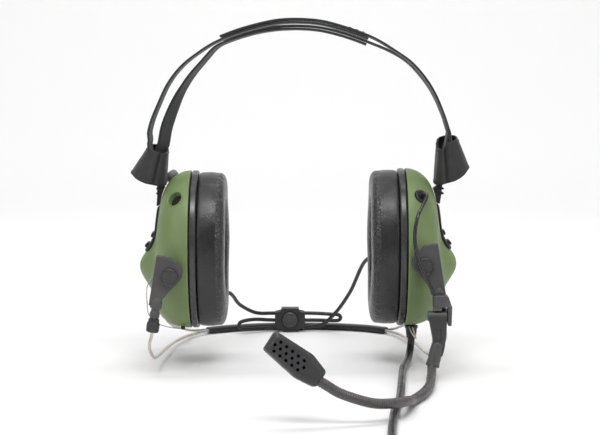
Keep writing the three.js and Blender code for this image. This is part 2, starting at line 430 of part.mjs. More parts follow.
// ---- head straps: two bands of webbing, each in two lengths that overlap at the crown ----
const strapA = [[-91.2, 132.2], [-88.1, 145.3], [-83.4, 156.5], [-77.6, 167.7], [-69.7, 177.7], [-61.8, 184.4], [-51.5, 191.1], [-38.2, 196.7], [-25, 200.6], [-12, 203.2], [0, 203.6], [12, 202.6], [24, 199.6], [37, 195.2], [50.6, 189.0], [63, 181.6], [72.1, 172.1], [79.1, 161.8], [84.6, 150.0], [88.6, 138.4]];
const strapB = [[-84.6, 132.4], [-82.4, 143.2], [-74.8, 160.5], [-65.8, 174.4], [-56.2, 185.2], [-50.4, 190.0], [-38.3, 194.9], [-25.5, 198.4], [-13, 200.2], [0, 200.6], [12, 199.6], [24, 196.8], [37, 192.4], [50.6, 186.2], [62, 178.8], [71, 169.2], [77.6, 159.4], [82.4, 148.4], [85.4, 138.2]];
function strap(name, line, ys, twist) {
  const pts = curve(line.map(([x, z], i) => [x, ys[0] + (ys[1] - ys[0]) * Math.sin((Math.PI * i) / (line.length - 1)) + (ys[2] || 0) * (i / (line.length - 1)), z]), 60);
  const wdir = (t) => V(Math.sin(twist * (1 - t) ** 3), Math.cos(twist * (1 - t) ** 3), 0);
  const take = (x0, x1, lift) => {
    const use = pts.map((p, i) => [p, i / 60]).filter(([p]) => p.x >= x0 && p.x <= x1);
    const step = use.filter((_, i) => i % 2 === 0 || i === use.length - 1);
    const path = step.map(([p, t], i) => {
      const a = step[Math.max(i - 1, 0)][0], b = step[Math.min(i + 1, step.length - 1)][0];
      const tan = b.clone().sub(a).normalize();
      const nrm = tan.clone().cross(V(0, 1, 0)).normalize().negate();
      if (nrm.z < 0 || (Math.abs(nrm.z) < 0.2 && nrm.x * p.x < 0)) nrm.negate();
      return p.clone().addScaledVector(nrm, lift);
    });
    return sweep(path, rect(12.6, 1.5), (i) => wdir(step[i][1]));
  };
  add('neckband', `strap_${name}_left`, take(-200, 40, 0), 0x2a2a2c);
  add('neckband', `strap_${name}_right`, take(-46, 200, 1.85), 0x2a2a2c);
}
strap('front', strapA, [-3, -14, 0], 0.1);
strap('rear', strapB, [9.5, 14, -6], 0.5);

// ---- down lead from the right cup, coiled beyond, with its plug ----
{
  const cup = CUPS.right, x = cup.rim + 4.5;
  add('right_cup', 'lead_strain_relief', G(M(turned([x, 0, cup.zc - 45.4], [0, 0.0, -1], [[2.5, 0], [2.5, 2.4], [3.9, 2.6], [3.7, 4.2], [3.0, 10]], 14)).subtract(M(bar([x, 0, cup.zc - 49.5], [x, 0, 5], LEAD_R + 0.45, LEAD_R + 0.45, 12)))), 0x333335);
  const path = [[x, 0, 19.6], [x, 0, 14.4], [x - 0.3, -1.0, 10.2], [x - 1.4, -5.6, 5.6], [64.4, -13.0, 3.0], [62.4, -22, 2.3], [60.4, -34, 2.26], [57.2, -69.5, 2.26], [52.6, -119.7, 2.26], [48.6, -145, 2.26], [46.6, -165, 2.26], [44.4, -190, 2.26], [42.9, -215, 2.26], [42.6, -240, 2.6], [42.9, -262, 3.6]];
  add('neckband', 'down_lead', sweep(curve(path, 34), round(LEAD_R, 8)), BLACK);
  const ringG = loft([...Array(28)].map((_, i) => {
    const t = (2 * Math.PI * i) / 28;
    return [[15.4, 0], [28.8, 0], [30.2, 6], [28.4, 12.2], [16.4, 12.2], [14.2, 6]].map(([r, z]) => V(9.8 + r * Math.cos(t), -277 + r * Math.sin(t), z));
  }), true);
  add('neckband', 'down_lead_coil', ringG, BLACK);
  add('neckband', 'lead_plug', turned([52, -252, 7.2], [0.1, -1, 0], [[2.8, 0], [3.4, 9], [7, 12], [7, 34], [5.2, 36], [3.6, 36.6], [3.6, 66], [2.6, 68], [3.3, 70.5], [1.2, 73]], 16), 0x3a3a3c);
}

// ---- assembly: one nested group per moving body ----
const root = new THREE.Group();
root.name = 'aviation_headset';
root.position.set(...OFFSET);
const PARENT = {
  neckband: null, left_arm: 'neckband', right_arm: 'neckband', left_cup: 'left_arm', right_cup: 'right_arm', boom: 'right_arm', keeper_button: 'neckband',
  left_door: 'left_cup', right_door: 'right_cup', left_button_upper: 'left_cup', left_button_lower: 'left_cup', right_button_upper: 'right_cup', right_button_lower: 'right_cup',
};
const groups = {};
for (const [name, parent] of Object.entries(PARENT)) {
  groups[name] = new THREE.Group();
  groups[name].name = `${name}_group`;
  (parent ? groups[parent] : root).add(groups[name]);
}
for (const [name, [geometry, colour, group]] of Object.entries(parts)) {
  const mesh = new THREE.Mesh(geometry, new THREE.MeshStandardMaterial({ color: colour, roughness: 0.6 }));
  mesh.name = name;
  groups[group].add(mesh);
}
export default root;
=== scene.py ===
import bpy, bmesh, math
import numpy as np
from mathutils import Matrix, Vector


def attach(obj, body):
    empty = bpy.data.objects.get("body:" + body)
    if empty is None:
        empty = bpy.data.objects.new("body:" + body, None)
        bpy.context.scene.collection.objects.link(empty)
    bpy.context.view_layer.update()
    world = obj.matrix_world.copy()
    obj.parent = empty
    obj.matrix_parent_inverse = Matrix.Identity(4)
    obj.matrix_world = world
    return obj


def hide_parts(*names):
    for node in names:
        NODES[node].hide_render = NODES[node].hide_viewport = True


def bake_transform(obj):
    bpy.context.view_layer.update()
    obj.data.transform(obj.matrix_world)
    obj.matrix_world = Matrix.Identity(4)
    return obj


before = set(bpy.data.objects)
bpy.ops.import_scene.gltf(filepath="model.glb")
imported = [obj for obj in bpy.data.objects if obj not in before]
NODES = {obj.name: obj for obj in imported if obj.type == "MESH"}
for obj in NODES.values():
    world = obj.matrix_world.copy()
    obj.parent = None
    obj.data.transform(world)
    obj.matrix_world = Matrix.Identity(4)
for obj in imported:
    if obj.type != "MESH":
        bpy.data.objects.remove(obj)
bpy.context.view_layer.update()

OFF_Y = 28.0          # mm: the drawing's offset along Y, as in the CAD

# ------------------------------------------------------------------ camera
cam_data = bpy.data.cameras.new("camera")
cam_data.sensor_width = 36.0
cam_data.lens = 90.0
cam_data.clip_start = 0.01
cam_data.clip_end = 50.0
cam = bpy.data.objects.new("camera", cam_data)
cam.location = (0.0, (-900.0 + OFF_Y) / 1000.0, 0.171)
cam.rotation_euler = (math.radians(90 - 5.3), 0.0, 0.0)
bpy.context.scene.collection.objects.link(cam)
bpy.context.scene.camera = cam


# ------------------------------------------------------------------ helpers
def P(p):
    """Drawing millimetres to the row frame in metres."""
    p = np.asarray(p, float)
    return (p + np.array([0.0, OFF_Y, 0.0])) / 1000.0


def unit(v):
    v = np.asarray(v, float)
    return v / max(np.linalg.norm(v), 1e-12)


def catmull(points, n, fine=60):
    """Centripetal Catmull-Rom through the points, n even steps."""
    p = np.asarray(points, float)
    q = np.vstack([2 * p[0] - p[1], p, 2 * p[-1] - p[-2]])
    out = []
    for i in range(len(p) - 1):
        p0, p1, p2, p3 = q[i:i + 4]
        d0, d1, d2 = (max(np.linalg.norm(b - a) ** 0.5, 1e-4) for a, b in ((p0, p1), (p1, p2), (p2, p3)))
        t1 = ((p1 - p0) / d0 - (p2 - p0) / (d0 + d1) + (p2 - p1) / d1) * d1
        t2 = ((p2 - p1) / d1 - (p3 - p1) / (d1 + d2) + (p3 - p2) / d2) * d1
        t = np.linspace(0, 1, fine, endpoint=False)[:, None]
        out.append(p1 + t1 * t + (-3 * p1 + 3 * p2 - 2 * t1 - t2) * t ** 2 + (2 * p1 - 2 * p2 + t1 + t2) * t ** 3)
    line = np.vstack(out + [p[-1:]])
    return respace(line, n)


def respace(line, n):
    s = np.concatenate([[0], np.cumsum(np.linalg.norm(np.diff(line, axis=0), axis=1))])
    at = np.linspace(0, s[-1], n + 1)
    return np.stack([np.interp(at, s, line[:, k]) for k in range(3)], 1)


def length_of(line):
    return float(np.linalg.norm(np.diff(line, axis=0), axis=1).sum())


def mesh_obj(name, verts, faces, mat=None, angle=40, attr=None):
    """A mesh object from drawing millimetres."""
    me = bpy.data.meshes.new(name)
    me.from_pydata([tuple(v) for v in P(verts)], [], [tuple(int(i) for i in f) for f in faces])
    me.validate()
    bm = bmesh.new()
    bm.from_mesh(me)
    bmesh.ops.recalc_face_normals(bm, faces=bm.faces)
    bm.to_mesh(me)
    bm.free()
    ob = bpy.data.objects.new(name, me)
    bpy.context.scene.collection.objects.link(ob)
    if attr is not None:
        a = me.attributes.new("wv", "FLOAT_VECTOR", "POINT")
        a.data.foreach_set("vector", np.asarray(attr, np.float32).ravel())
    smooth(ob, angle)
    if mat:
        me.materials.append(mat)
    return ob


def smooth(ob, angle=40):
    me = ob.data
    me.polygons.foreach_set("use_smooth", [True] * len(me.polygons))
    me.set_sharp_from_angle(angle=math.radians(angle))


def loft(name, rings, mat=None, loop=False, caps=True, angle=40, attr=None):
    rings = np.asarray(rings, float)
    m, n = rings.shape[:2]
    v = rings.reshape(-1, 3)
    f = []
    for i in range(m if loop else m - 1):
        a, b = i * n, ((i + 1) % m) * n
        for j in range(n):
            k = (j + 1) % n
            f.append((a + j, a + k, b + k, b + j))
    if caps and not loop:
        f.append(tuple(range(n))[::-1])
        f.append(tuple(range((m - 1) * n, m * n)))
    return mesh_obj(name, v, f, mat, angle, attr)


def frames(pts, side=None):
    """Tangent and two side directions at each point, with no twist."""
    pts = np.asarray(pts, float)
    t = np.gradient(pts, axis=0)
    t /= np.maximum(np.linalg.norm(t, axis=1), 1e-12)[:, None]
    u = np.zeros_like(t)
    if side is None:
        c = np.array([0, 0, 1.0]) if abs(t[0, 2]) < 0.9 else np.array([0, 1.0, 0])
    for i in range(len(pts)):
        c = np.asarray(side(i / (len(pts) - 1)) if side else c, float)
        c = c - c.dot(t[i]) * t[i]
        c = unit(c)
        u[i] = c
    return t, u, np.cross(t, u)


def sweep(name, pts, section, mat=None, side=None, angle=40, wv=False):
    """section(i, k) or a list of (a, b) pairs; wv stores length along, across and round, in metres."""
    pts = np.asarray(pts, float)
    t, u, w = frames(pts, side)
    s = np.concatenate([[0], np.cumsum(np.linalg.norm(np.diff(pts, axis=0), axis=1))])
    rings, attr = [], []
    for i in range(len(pts)):
        sec = np.asarray(section(i, s[i], s[-1]) if callable(section) else section, float)
        rings.append(pts[i] + sec[:, :1] * u[i] + sec[:, 1:] * w[i])
        attr += [(s[i] / 1000, a / 1000, b / 1000) for a, b in sec]
    return loft(name, rings, mat, angle=angle, attr=attr if wv else None)


def circle(r, n=24):
    t = 2 * math.pi * (np.arange(n) + 0.5) / n
    return np.stack([r * np.cos(t), r * np.sin(t)], 1)


def tube(name, pts, r, mat=None, n=20, wv=False):
    """A round cord with rounded ends."""
    pts = np.asarray(pts, float)

    def sec(i, s, total):
        k = 1.0
        for d in (s, total - s):
            if d < 0.4:
                k = min(k, 0.55 + 0.45 * math.sqrt(max(0, 1 - (1 - d / 0.4) ** 2)))
        return circle(r * k, n)
    return sweep(name, pts, sec, mat, wv=wv)


def lathe(name, origin, direction, profile, mat=None, n=56, angle=35):
    """Turned about a line; profile is (radius, distance along)."""
    d = unit(direction)
    u = np.array([0, 0, 1.0]) if abs(d[2]) < 0.9 else np.array([0, 1.0, 0])
    u = unit(u - u.dot(d) * d)
    w = np.cross(d, u)
    o = np.asarray(origin, float)
    rings = [[o + d * h + max(r, 0.01) * (u * math.cos(2 * math.pi * k / n) + w * math.sin(2 * math.pi * k / n)) for k in range(n)] for r, h in profile]
    return loft(name, rings, mat, angle=angle)


def rounded(profile, r=0.3, steps=3):
    """Rounds the corners of an open profile."""
    p = [np.asarray(q, float) for q in profile]
    out = [p[0]]
    for a, b, c in zip(p[:-2], p[1:-1], p[2:]):
        d1, d2 = np.linalg.norm(a - b), np.linalg.norm(c - b)
        k = min(r, d1 * 0.45, d2 * 0.45)
        s, e = b + (a - b) / max(d1, 1e-9) * k, b + (c - b) / max(d2, 1e-9) * k
        for i in range(steps + 1):
            t = i / steps
            out.append((1 - t) ** 2 * s + 2 * t * (1 - t) * b + t * t * e)
    out.append(p[-1])
    return [tuple(q) for q in out]


def rounded_loop(outline, r=0.5, steps=4):
    """Rounds the corners of a closed outline."""
    n = len(outline)
    out = []
    for i in range(n):
        a, b, c = (np.asarray(outline[(i + k) % n], float) for k in (-1, 0, 1))
        d1, d2 = np.linalg.norm(a - b), np.linalg.norm(c - b)
        k = min(r, d1 * 0.45, d2 * 0.45)
        s, e = b + (a - b) / max(d1, 1e-9) * k, b + (c - b) / max(d2, 1e-9) * k
        for j in range(steps + 1):
            t = j / steps
            out.append((1 - t) ** 2 * s + 2 * t * (1 - t) * b + t * t * e)
    return [tuple(q) for q in out]


def slab(name, outline, y0, y1, mat=None, bevel=0.35, segments=3, angle=35):
    """An outline in the XZ plane, thickened along Y, with rounded edges."""
    n = len(outline)
    v = [(x, y0, z) for x, z in outline] + [(x, y1, z) for x, z in outline]
    f = [tuple(range(n)), tuple(range(n, 2 * n))[::-1]] + [(i, i + n, (i + 1) % n + n, (i + 1) % n) for i in range(n)]
    ob = mesh_obj(name, v, f, mat, angle)
    if bevel:
        add_bevel(ob, bevel, segments)
    return ob


def add_bevel(ob, width, segments=3, angle=40):
    m = ob.modifiers.new("bevel", "BEVEL")
    m.width = width / 1000
    m.segments = segments
    m.limit_method = "ANGLE"
    m.angle_limit = math.radians(angle)
    m.use_clamp_overlap = True
    bake_modifiers(ob)
    smooth(ob, angle)
    return ob


def bake_modifiers(ob):
    dg = bpy.context.evaluated_depsgraph_get()
    dg.update()
    e = ob.evaluated_get(dg)
    new = bpy.data.meshes.new_from_object(e, preserve_all_data_layers=True, depsgraph=dg)
    ob.modifiers.clear()
    ob.data = new


def drop(ob):
    bpy.data.objects.remove(ob, do_unlink=True)


def cut(target, *cutters, op="DIFFERENCE", angle=35, keep=False):
    for c in cutters:
        m = target.modifiers.new("cut", "BOOLEAN")
        m.operation = op
        m.solver = "EXACT"
        m.object = c
    bake_modifiers(target)
    if not keep:
        for c in cutters:
            drop(c)
    smooth(target, angle)
    return target


def join(name, obs):
    """Several meshes as one object; materials are kept."""
    bm = bmesh.new()
    mats, verts, faces, idx = [], [], [], []
    for o in obs:
        base = len(verts)
        local = []
        for m in o.data.materials:
            if m not in mats:
                mats.append(m)
            local.append(mats.index(m))
        verts += [v.co.copy() for v in o.data.vertices]
        for p in o.data.polygons:
            faces.append(tuple(base + i for i in p.vertices))
            idx.append(local[p.material_index] if local else 0)
    bm.free()
    me = bpy.data.meshes.new(name)
    me.from_pydata(verts, [], faces)
    for m in mats:
        me.materials.append(m)
    me.polygons.foreach_set("material_index", idx)
    ob = bpy.data.objects.new(name, me)
    bpy.context.scene.collection.objects.link(ob)
    for o in obs:
        drop(o)
    smooth(ob, 35)
    return ob


# ------------------------------------------------------------------ materials
def principled(name):
    m = bpy.data.materials.new(name)
    m.use_nodes = True
    nt = m.node_tree
    return m, nt, nt.nodes["Principled BSDF"]


def coords(nt):
    return nt.nodes.new("ShaderNodeTexCoord").outputs["Object"]


def noise(nt, vec, scale, detail=3.0, rough=0.55, distort=0.0):
    n = nt.nodes.new("ShaderNodeTexNoise")
    n.inputs["Scale"].default_value = scale
    n.inputs["Detail"].default_value = detail
    n.inputs["Roughness"].default_value = rough
    n.inputs["Distortion"].default_value = distort
    nt.links.new(vec, n.inputs["Vector"])
    return n.outputs["Fac"]


def ramp(nt, fac, stops):
    r = nt.nodes.new("ShaderNodeValToRGB")
    r.color_ramp.elements[0].position, r.color_ramp.elements[0].color = stops[0][0], (*stops[0][1], 1)
    r.color_ramp.elements[1].position, r.color_ramp.elements[1].color = stops[-1][0], (*stops[-1][1], 1)
    for p, c in stops[1:-1]:
        e = r.color_ramp.elements.new(p)
        e.color = (*c, 1)
    nt.links.new(fac, r.inputs["Fac"])
    return r.outputs["Color"]


def maprange(nt, v, a, b, c, d):
    n = nt.nodes.new("ShaderNodeMapRange")
    for k, x in zip(("From Min", "From Max", "To Min", "To Max"), (a, b, c, d)):
        n.inputs[k].default_value = x
    nt.links.new(v, n.inputs["Value"])
    return n.outputs["Result"]


def math_node(nt, op, a, b=None, clamp=False):
    n = nt.nodes.new("ShaderNodeMath")
    n.operation = op
    n.use_clamp = clamp
    for i, x in enumerate((a, b)):
        if x is None:
            continue
        if isinstance(x, (int, float)):
            n.inputs[i].default_value = x
        else:
            nt.links.new(x, n.inputs[i])
    return n.outputs[0]


def bump(nt, heights, bsdf):
    """heights: (socket, distance in mm, strength) chained into the shader's normal."""
    last = None
    for h, dist, strength in heights:
        b = nt.nodes.new("ShaderNodeBump")
        b.inputs["Distance"].default_value = dist / 1000
        b.inputs["Strength"].default_value = strength
        nt.links.new(h, b.inputs["Height"])
        if last:
            nt.links.new(last, b.inputs["Normal"])
        last = b.outputs["Normal"]
    nt.links.new(last, bsdf.inputs["Normal"])


def c3(c, k=1.0):
    return tuple(min(1.0, x * k) for x in c)


def plastic(name, color, rough=0.5, grain=900.0, depth=0.05, vary=0.12, spec=0.5, rough_vary=0.1, painted_edge_highlight=0.0, coat=0.0):
    """Moulded plastic: fine spark-eroded grain, faint mottling, uneven sheen, convex edges paler as a painted edge
    highlight.
    """
    m, nt, b = principled(name)
    v = coords(nt)
    low = noise(nt, v, 38.0, 4.0)
    col = ramp(nt, low, [(0.3, c3(color, 1 - vary)), (0.7, c3(color, 1 + vary))])
    # paler colour on convex edges: a painted edge highlight
    if painted_edge_highlight:
        g = nt.nodes.new("ShaderNodeNewGeometry")
        e = maprange(nt, g.outputs["Pointiness"], 0.54, 0.62, 0.0, 1.0)
        e = math_node(nt, "MULTIPLY", e, noise(nt, v, 240.0, 4.0), clamp=True)
        e = math_node(nt, "MULTIPLY", e, painted_edge_highlight, clamp=True)
        mix = nt.nodes.new("ShaderNodeMix")
        mix.data_type = "RGBA"
        nt.links.new(e, mix.inputs["Factor"])
        nt.links.new(col, mix.inputs[6])
        mix.inputs[7].default_value = (*c3(color, 2.2), 1)
        col = mix.outputs[2]
    nt.links.new(col, b.inputs["Base Color"])
    r = noise(nt, v, 140.0, 5.0)
    nt.links.new(maprange(nt, r, 0.3, 0.7, max(0.02, rough - rough_vary), min(1, rough + rough_vary)), b.inputs["Roughness"])
    b.inputs["Specular IOR Level"].default_value = spec
    if coat:
        b.inputs["Coat Weight"].default_value = coat
        b.inputs["Coat Roughness"].default_value = 0.25
    bump(nt, [(noise(nt, v, grain, 2.0, 0.5), depth, 0.6), (noise(nt, v, grain * 0.12, 3.0), depth * 2.0, 0.15)], b)
    return m


def rubber(name, color, rough=0.5, depth=0.04, spec=0.45, vary=0.15):
    m, nt, b = principled(name)
    v = coords(nt)
    nt.links.new(ramp(nt, noise(nt, v, 55.0, 5.0), [(0.3, c3(color, 1 - vary)), (0.7, c3(color, 1 + vary))]), b.inputs["Base Color"])
    nt.links.new(maprange(nt, noise(nt, v, 160.0, 4.0), 0.3, 0.7, rough - 0.1, rough + 0.12), b.inputs["Roughness"])
    b.inputs["Specular IOR Level"].default_value = spec
    bump(nt, [(noise(nt, v, 700.0, 3.0), depth, 0.5), (noise(nt, v, 70.0, 2.0), 0.15, 0.2)], b)
    return m


def vinyl(name, color, rough=0.36, cell=700.0, depth=0.12, sheen=0.1, painted_glint=0.0):
    """Soft black vinyl: pebbled grain, fine creases, a satin sheen."""
    m, nt, b = principled(name)
    v = coords(nt)
    vo = nt.nodes.new("ShaderNodeTexVoronoi")
    vo.feature = "DISTANCE_TO_EDGE"
    vo.inputs["Scale"].default_value = cell
    nt.links.new(v, vo.inputs["Vector"])
    pebble = maprange(nt, vo.outputs["Distance"], 0.0, 0.25, 0.0, 1.0)
    if painted_glint:
        # lighter specks in the base colour are painted glints, standing in for pebble tops that catch the light
        nt.links.new(ramp(nt, noise(nt, v, 2300.0, 2.0, 0.6), [(0.4, c3(color, 0.7)), (0.56, c3(color, 1.4)), (0.7, c3(color, painted_glint))]), b.inputs["Base Color"])
    else:
        nt.links.new(ramp(nt, noise(nt, v, 60.0, 5.0), [(0.3, c3(color, 0.8)), (0.7, c3(color, 1.25))]), b.inputs["Base Color"])
    nt.links.new(maprange(nt, noise(nt, v, 130.0, 4.0), 0.3, 0.7, rough - 0.07, rough + 0.12), b.inputs["Roughness"])
    b.inputs["Specular IOR Level"].default_value = 0.55
    b.inputs["Sheen Weight"].default_value = sheen
    bump(nt, [(pebble, depth, 0.35), (noise(nt, v, 120.0, 6.0, 0.6, 0.6), 0.14, 0.3)], b)
    return m


def steel(name, color=(0.62, 0.585, 0.53), rough=0.3):
    m, nt, b = principled(name)
    v = coords(nt)
    b.inputs["Metallic"].default_value = 1.0
    nt.links.new(ramp(nt, noise(nt, v, 90.0, 5.0), [(0.3, c3(color, 0.82)), (0.7, c3(color, 1.1))]), b.inputs["Base Color"])
    nt.links.new(maprange(nt, noise(nt, v, 420.0, 4.0), 0.3, 0.7, rough - 0.08, rough + 0.12), b.inputs["Roughness"])
    bump(nt, [(noise(nt, v, 1300.0, 2.0), 0.02, 0.4)], b)
    return m


def foam(name, color, scale=900.0):
    m, nt, b = principled(name)
    v = coords(nt)
    vo = nt.nodes.new("ShaderNodeTexVoronoi")
    vo.inputs["Scale"].default_value = scale
    nt.links.new(v, vo.inputs["Vector"])
    d = vo.outputs["Distance"]
    # dark pits and pale cell rims in the colour: painted shade in the pores
    nt.links.new(ramp(nt, d, [(0.1, c3(color, 0.35)), (0.7, c3(color, 1.5))]), b.inputs["Base Color"])
    b.inputs["Roughness"].default_value = 0.95
    b.inputs["Specular IOR Level"].default_value = 0.15
    b.inputs["Sheen Weight"].default_value = 0.25
    bump(nt, [(d, 0.5, 0.8), (noise(nt, v, 110.0, 3.0), 0.6, 0.4)], b)
    return m


def webbing(name, color=(0.045, 0.045, 0.048), pitch=0.95, stitch=None):
    """Narrow herringbone webbing from the length and width stored on the piece."""
    m, nt, b = principled(name)
    a = nt.nodes.new("ShaderNodeAttribute")
    a.attribute_name = "wv"
    sep = nt.nodes.new("ShaderNodeSeparateXYZ")
    nt.links.new(a.outputs["Vector"], sep.inputs[0])
    along, across = sep.outputs[0], sep.outputs[1]
    # yarns run along the band, floats lean one way on each half of the width
    k = 2 * math.pi / (pitch / 1000)
    rows = math_node(nt, "SINE", math_node(nt, "MULTIPLY", across, k))
    zig = math_node(nt, "ABSOLUTE", math_node(nt, "SUBTRACT", math_node(nt, "FRACT", math_node(nt, "MULTIPLY", across, 1 / 0.0042)), 0.5))
    lean = math_node(nt, "ADD", math_node(nt, "MULTIPLY", along, k * 0.8), math_node(nt, "MULTIPLY", zig, 14.0))
    floats = math_node(nt, "SINE", lean)
    yarn = math_node(nt, "ADD", math_node(nt, "MULTIPLY", rows, 0.35), math_node(nt, "MULTIPLY", floats, 0.65))
    h = maprange(nt, yarn, -1.0, 1.0, 0.0, 1.0)
    obj = coords(nt)
    fuzz = noise(nt, obj, 1900.0, 3.0)
    h2 = math_node(nt, "ADD", math_node(nt, "MULTIPLY", h, 0.8), math_node(nt, "MULTIPLY", fuzz, 0.35))
    # colour follows the yarn height: painted shade in the low weave, painted highlight on the raised floats, with
    # random fuzz
    col = ramp(nt, h2, [(0.15, c3(color, 0.35)), (0.6, color), (1.0, c3(color, 2.1))])
    nt.links.new(col, b.inputs["Base Color"])
    b.inputs["Roughness"].default_value = 0.82
    b.inputs["Specular IOR Level"].default_value = 0.25
    b.inputs["Sheen Weight"].default_value = 0.35
    b.inputs["Sheen Roughness"].default_value = 0.4
    bump(nt, [(h2, 0.28, 0.75), (noise(nt, obj, 130.0, 3.0), 0.3, 0.25)], b)
    return m


def leatherette(name, color=(0.035, 0.031, 0.033)):
    """Rubberised cloth: a fine cross weave under a dull coating, pressed creases."""
    m, nt, b = principled(name)
    v = coords(nt)
    w1 = nt.nodes.new("ShaderNodeTexWave")
    w1.inputs["Scale"].default_value = 260.0
    w1.inputs["Distortion"].default_value = 0.6
    w1.bands_direction = "Z"
    nt.links.new(v, w1.inputs["Vector"])
    w2 = nt.nodes.new("ShaderNodeTexWave")
    w2.inputs["Scale"].default_value = 260.0
    w2.inputs["Distortion"].default_value = 0.6
    w2.bands_direction = "X"
    nt.links.new(v, w2.inputs["Vector"])
    weave = math_node(nt, "ADD", math_node(nt, "MULTIPLY", w1.outputs["Fac"], 0.5), math_node(nt, "MULTIPLY", w2.outputs["Fac"], 0.5))
    col = ramp(nt, noise(nt, v, 80.0, 6.0, 0.6), [(0.3, c3(color, 0.75)), (0.55, color), (0.75, c3(color, 1.7))])
    nt.links.new(col, b.inputs["Base Color"])
    nt.links.new(maprange(nt, noise(nt, v, 200.0, 4.0), 0.3, 0.7, 0.5, 0.72), b.inputs["Roughness"])
    b.inputs["Specular IOR Level"].default_value = 0.4
    b.inputs["Sheen Weight"].default_value = 0.15
    bump(nt, [(weave, 0.06, 0.6), (noise(nt, v, 60.0, 6.0, 0.65, 0.8), 0.7, 0.35)], b)
    return m


GREEN = (0.205, 0.282, 0.128)
MAT = {
    "green": plastic("cup_green_plastic", (0.156, 0.217, 0.087), 0.45, 1250.0, 0.2, 0.1, 0.42, painted_edge_highlight=0.25),
    "rim": plastic("rim_satin_black", (0.034, 0.034, 0.036), 0.28, 1800.0, 0.02, 0.15, 0.6),
    "vinyl": vinyl("cushion_vinyl", (0.011, 0.011, 0.0115), 0.32),
    "foam": foam("liner_foam", (0.016, 0.016, 0.017)),
    "steel": steel("spring_steel"),
    "dark_steel": steel("dark_steel", (0.3, 0.3, 0.31), 0.38),
    "board": plastic("board_green", (0.02, 0.11, 0.05), 0.35, 500.0, 0.05, 0.3),
    "cell": plastic("cell_sleeve", (0.10, 0.11, 0.13), 0.3, 800.0, 0.02, 0.2, 0.6),
    "panel": rubber("panel_black", (0.01, 0.01, 0.0105), 0.48),
    "button": rubber("button_black", (0.012, 0.012, 0.0125), 0.4),
    "pivot": plastic("pivot_black", (0.036, 0.036, 0.038), 0.32, 1300.0, 0.03, 0.2, 0.5, painted_edge_highlight=0.3),
    "arm": plastic("arm_grey", (0.066, 0.063, 0.065), 0.42, 1200.0, 0.06, 0.12, 0.45, painted_edge_highlight=0.5),
    "hanger": rubber("hanger_black", (0.014, 0.0135, 0.014), 0.5),
    "guard": leatherette("guard_cloth", (0.017, 0.0155, 0.0165)),
    # a darker copy of the guard cloth for its inside: painted shade; no piece uses it
    "guard_in": leatherette("guard_inside_painted_shade", (0.008, 0.008, 0.008)),
    "web": webbing("webbing_black", (0.02, 0.02, 0.0215)),
    "rubber": rubber("sleeve_rubber", (0.019, 0.019, 0.02), 0.4),
    "cable": rubber("cable_black", (0.016, 0.016, 0.017), 0.34, 0.02, 0.5),
    "boomcable": rubber("boom_cable_black", (0.015, 0.015, 0.016), 0.26, 0.015, 0.6),
    "ferrule": plastic("ferrule_black", (0.024, 0.024, 0.0255), 0.33, 1500.0, 0.03, 0.15, 0.55, painted_edge_highlight=0.3),
    "goose": plastic("gooseneck_metal", (0.066, 0.058, 0.06), 0.3, 1600.0, 0.02, 0.15, 0.6, painted_edge_highlight=0.4),
    "mic": plastic("mic_black", (0.036, 0.036, 0.038), 0.4, 1400.0, 0.06, 0.12, 0.45, painted_edge_highlight=0.25),
    # near-black for the inside of holes and recesses: painted shade
    "hole": plastic("hole_painted_shade", (0.004, 0.004, 0.004), 0.8, 900.0, 0.02),
    "keeper": plastic("keeper_black", (0.019, 0.019, 0.02), 0.42, 1300.0, 0.05, 0.15, 0.5, painted_edge_highlight=0.3),
    "plug": plastic("plug_black", (0.02, 0.02, 0.022), 0.3, 1500.0, 0.02, 0.2, 0.6),
    "brass": steel("plug_metal", (0.70, 0.64, 0.48), 0.22),
    "lug": plastic("lug_grey", (0.23, 0.24, 0.24), 0.5, 1000.0, 0.06, 0.12, 0.45),
    "thread": rubber("thread", (0.05, 0.05, 0.052), 0.7),
}

# ------------------------------------------------------------------ the lead, from the right cup to its coil and plug
RIGHT = dict(s=1, rim=63.0, zc=69.8, pivot=(71.9, 63.1))
LEFT = dict(s=-1, rim=65.2, zc=68.4, pivot=(75.1, 56.9))
LEAD_D = 4.4
lx = RIGHT["rim"] + 4.5
COIL = (9.8, -277.0)
lead_seen = [[lx, 0, 20.6], [lx, 0, 14.4], [lx - 0.3, -1.0, 10.2], [lx - 1.4, -5.6, 5.6], [64.4, -13.0, 3.0], [62.4, -22, 2.3], [60.4, -34, 2.26], [57.2, -69.5, 2.26],
             [52.6, -119.7, 2.26], [48.6, -145, 2.26], [46.6, -165, 2.26], [44.4, -190, 2.26], [42.9, -215, 2.26], [41.8, -240, 2.3], [39.6, -259, 2.35]]
TURNS = [(27.4, 2.35), (22.8, 2.35), (18.2, 2.35), (20.4, 6.2), (25.0, 6.2), (16.6, 6.9), (18.8, 10.0), (23.2, 10.0), (25.2, 10.0), (25.2, 10.0)]
OUT_ANGLE = math.radians(115.0)
N_T = 8.0 + (2 * math.pi - OUT_ANGLE) / (2 * math.pi)
coil_pts = []
for i in range(int(N_T * 24) + 1):
    a = i / 24.0
    k = min(int(a), len(TURNS) - 2)
    f = a - k
    f = 0.0 if f < 0.62 else (f - 0.62) / 0.38
    f = f * f * (3 - 2 * f)
    r = TURNS[k][0] * (1 - f) + TURNS[k + 1][0] * f
    z = TURNS[k][1] * (1 - f) + TURNS[k + 1][1] * f
    th = -2 * math.pi * a
    coil_pts.append([COIL[0] + r * math.cos(th), COIL[1] + r * math.sin(th), z])
tail = [[37 + 15 * math.cos(math.radians(t)), -252 + 15 * math.sin(math.radians(t)), 8.6 - 1.4 * (115 - t) / 115] for t in range(115, -1, -14)]
tail[-1] = [52.0, -252.0, 7.2]
lead_pts = lead_seen + coil_pts + tail + [[52.4, -256.0, 7.2]]
lead_line = catmull(lead_pts, 1400, fine=12)
lead = tube("lead", lead_line, LEAD_D / 2, MAT["cable"], 14)


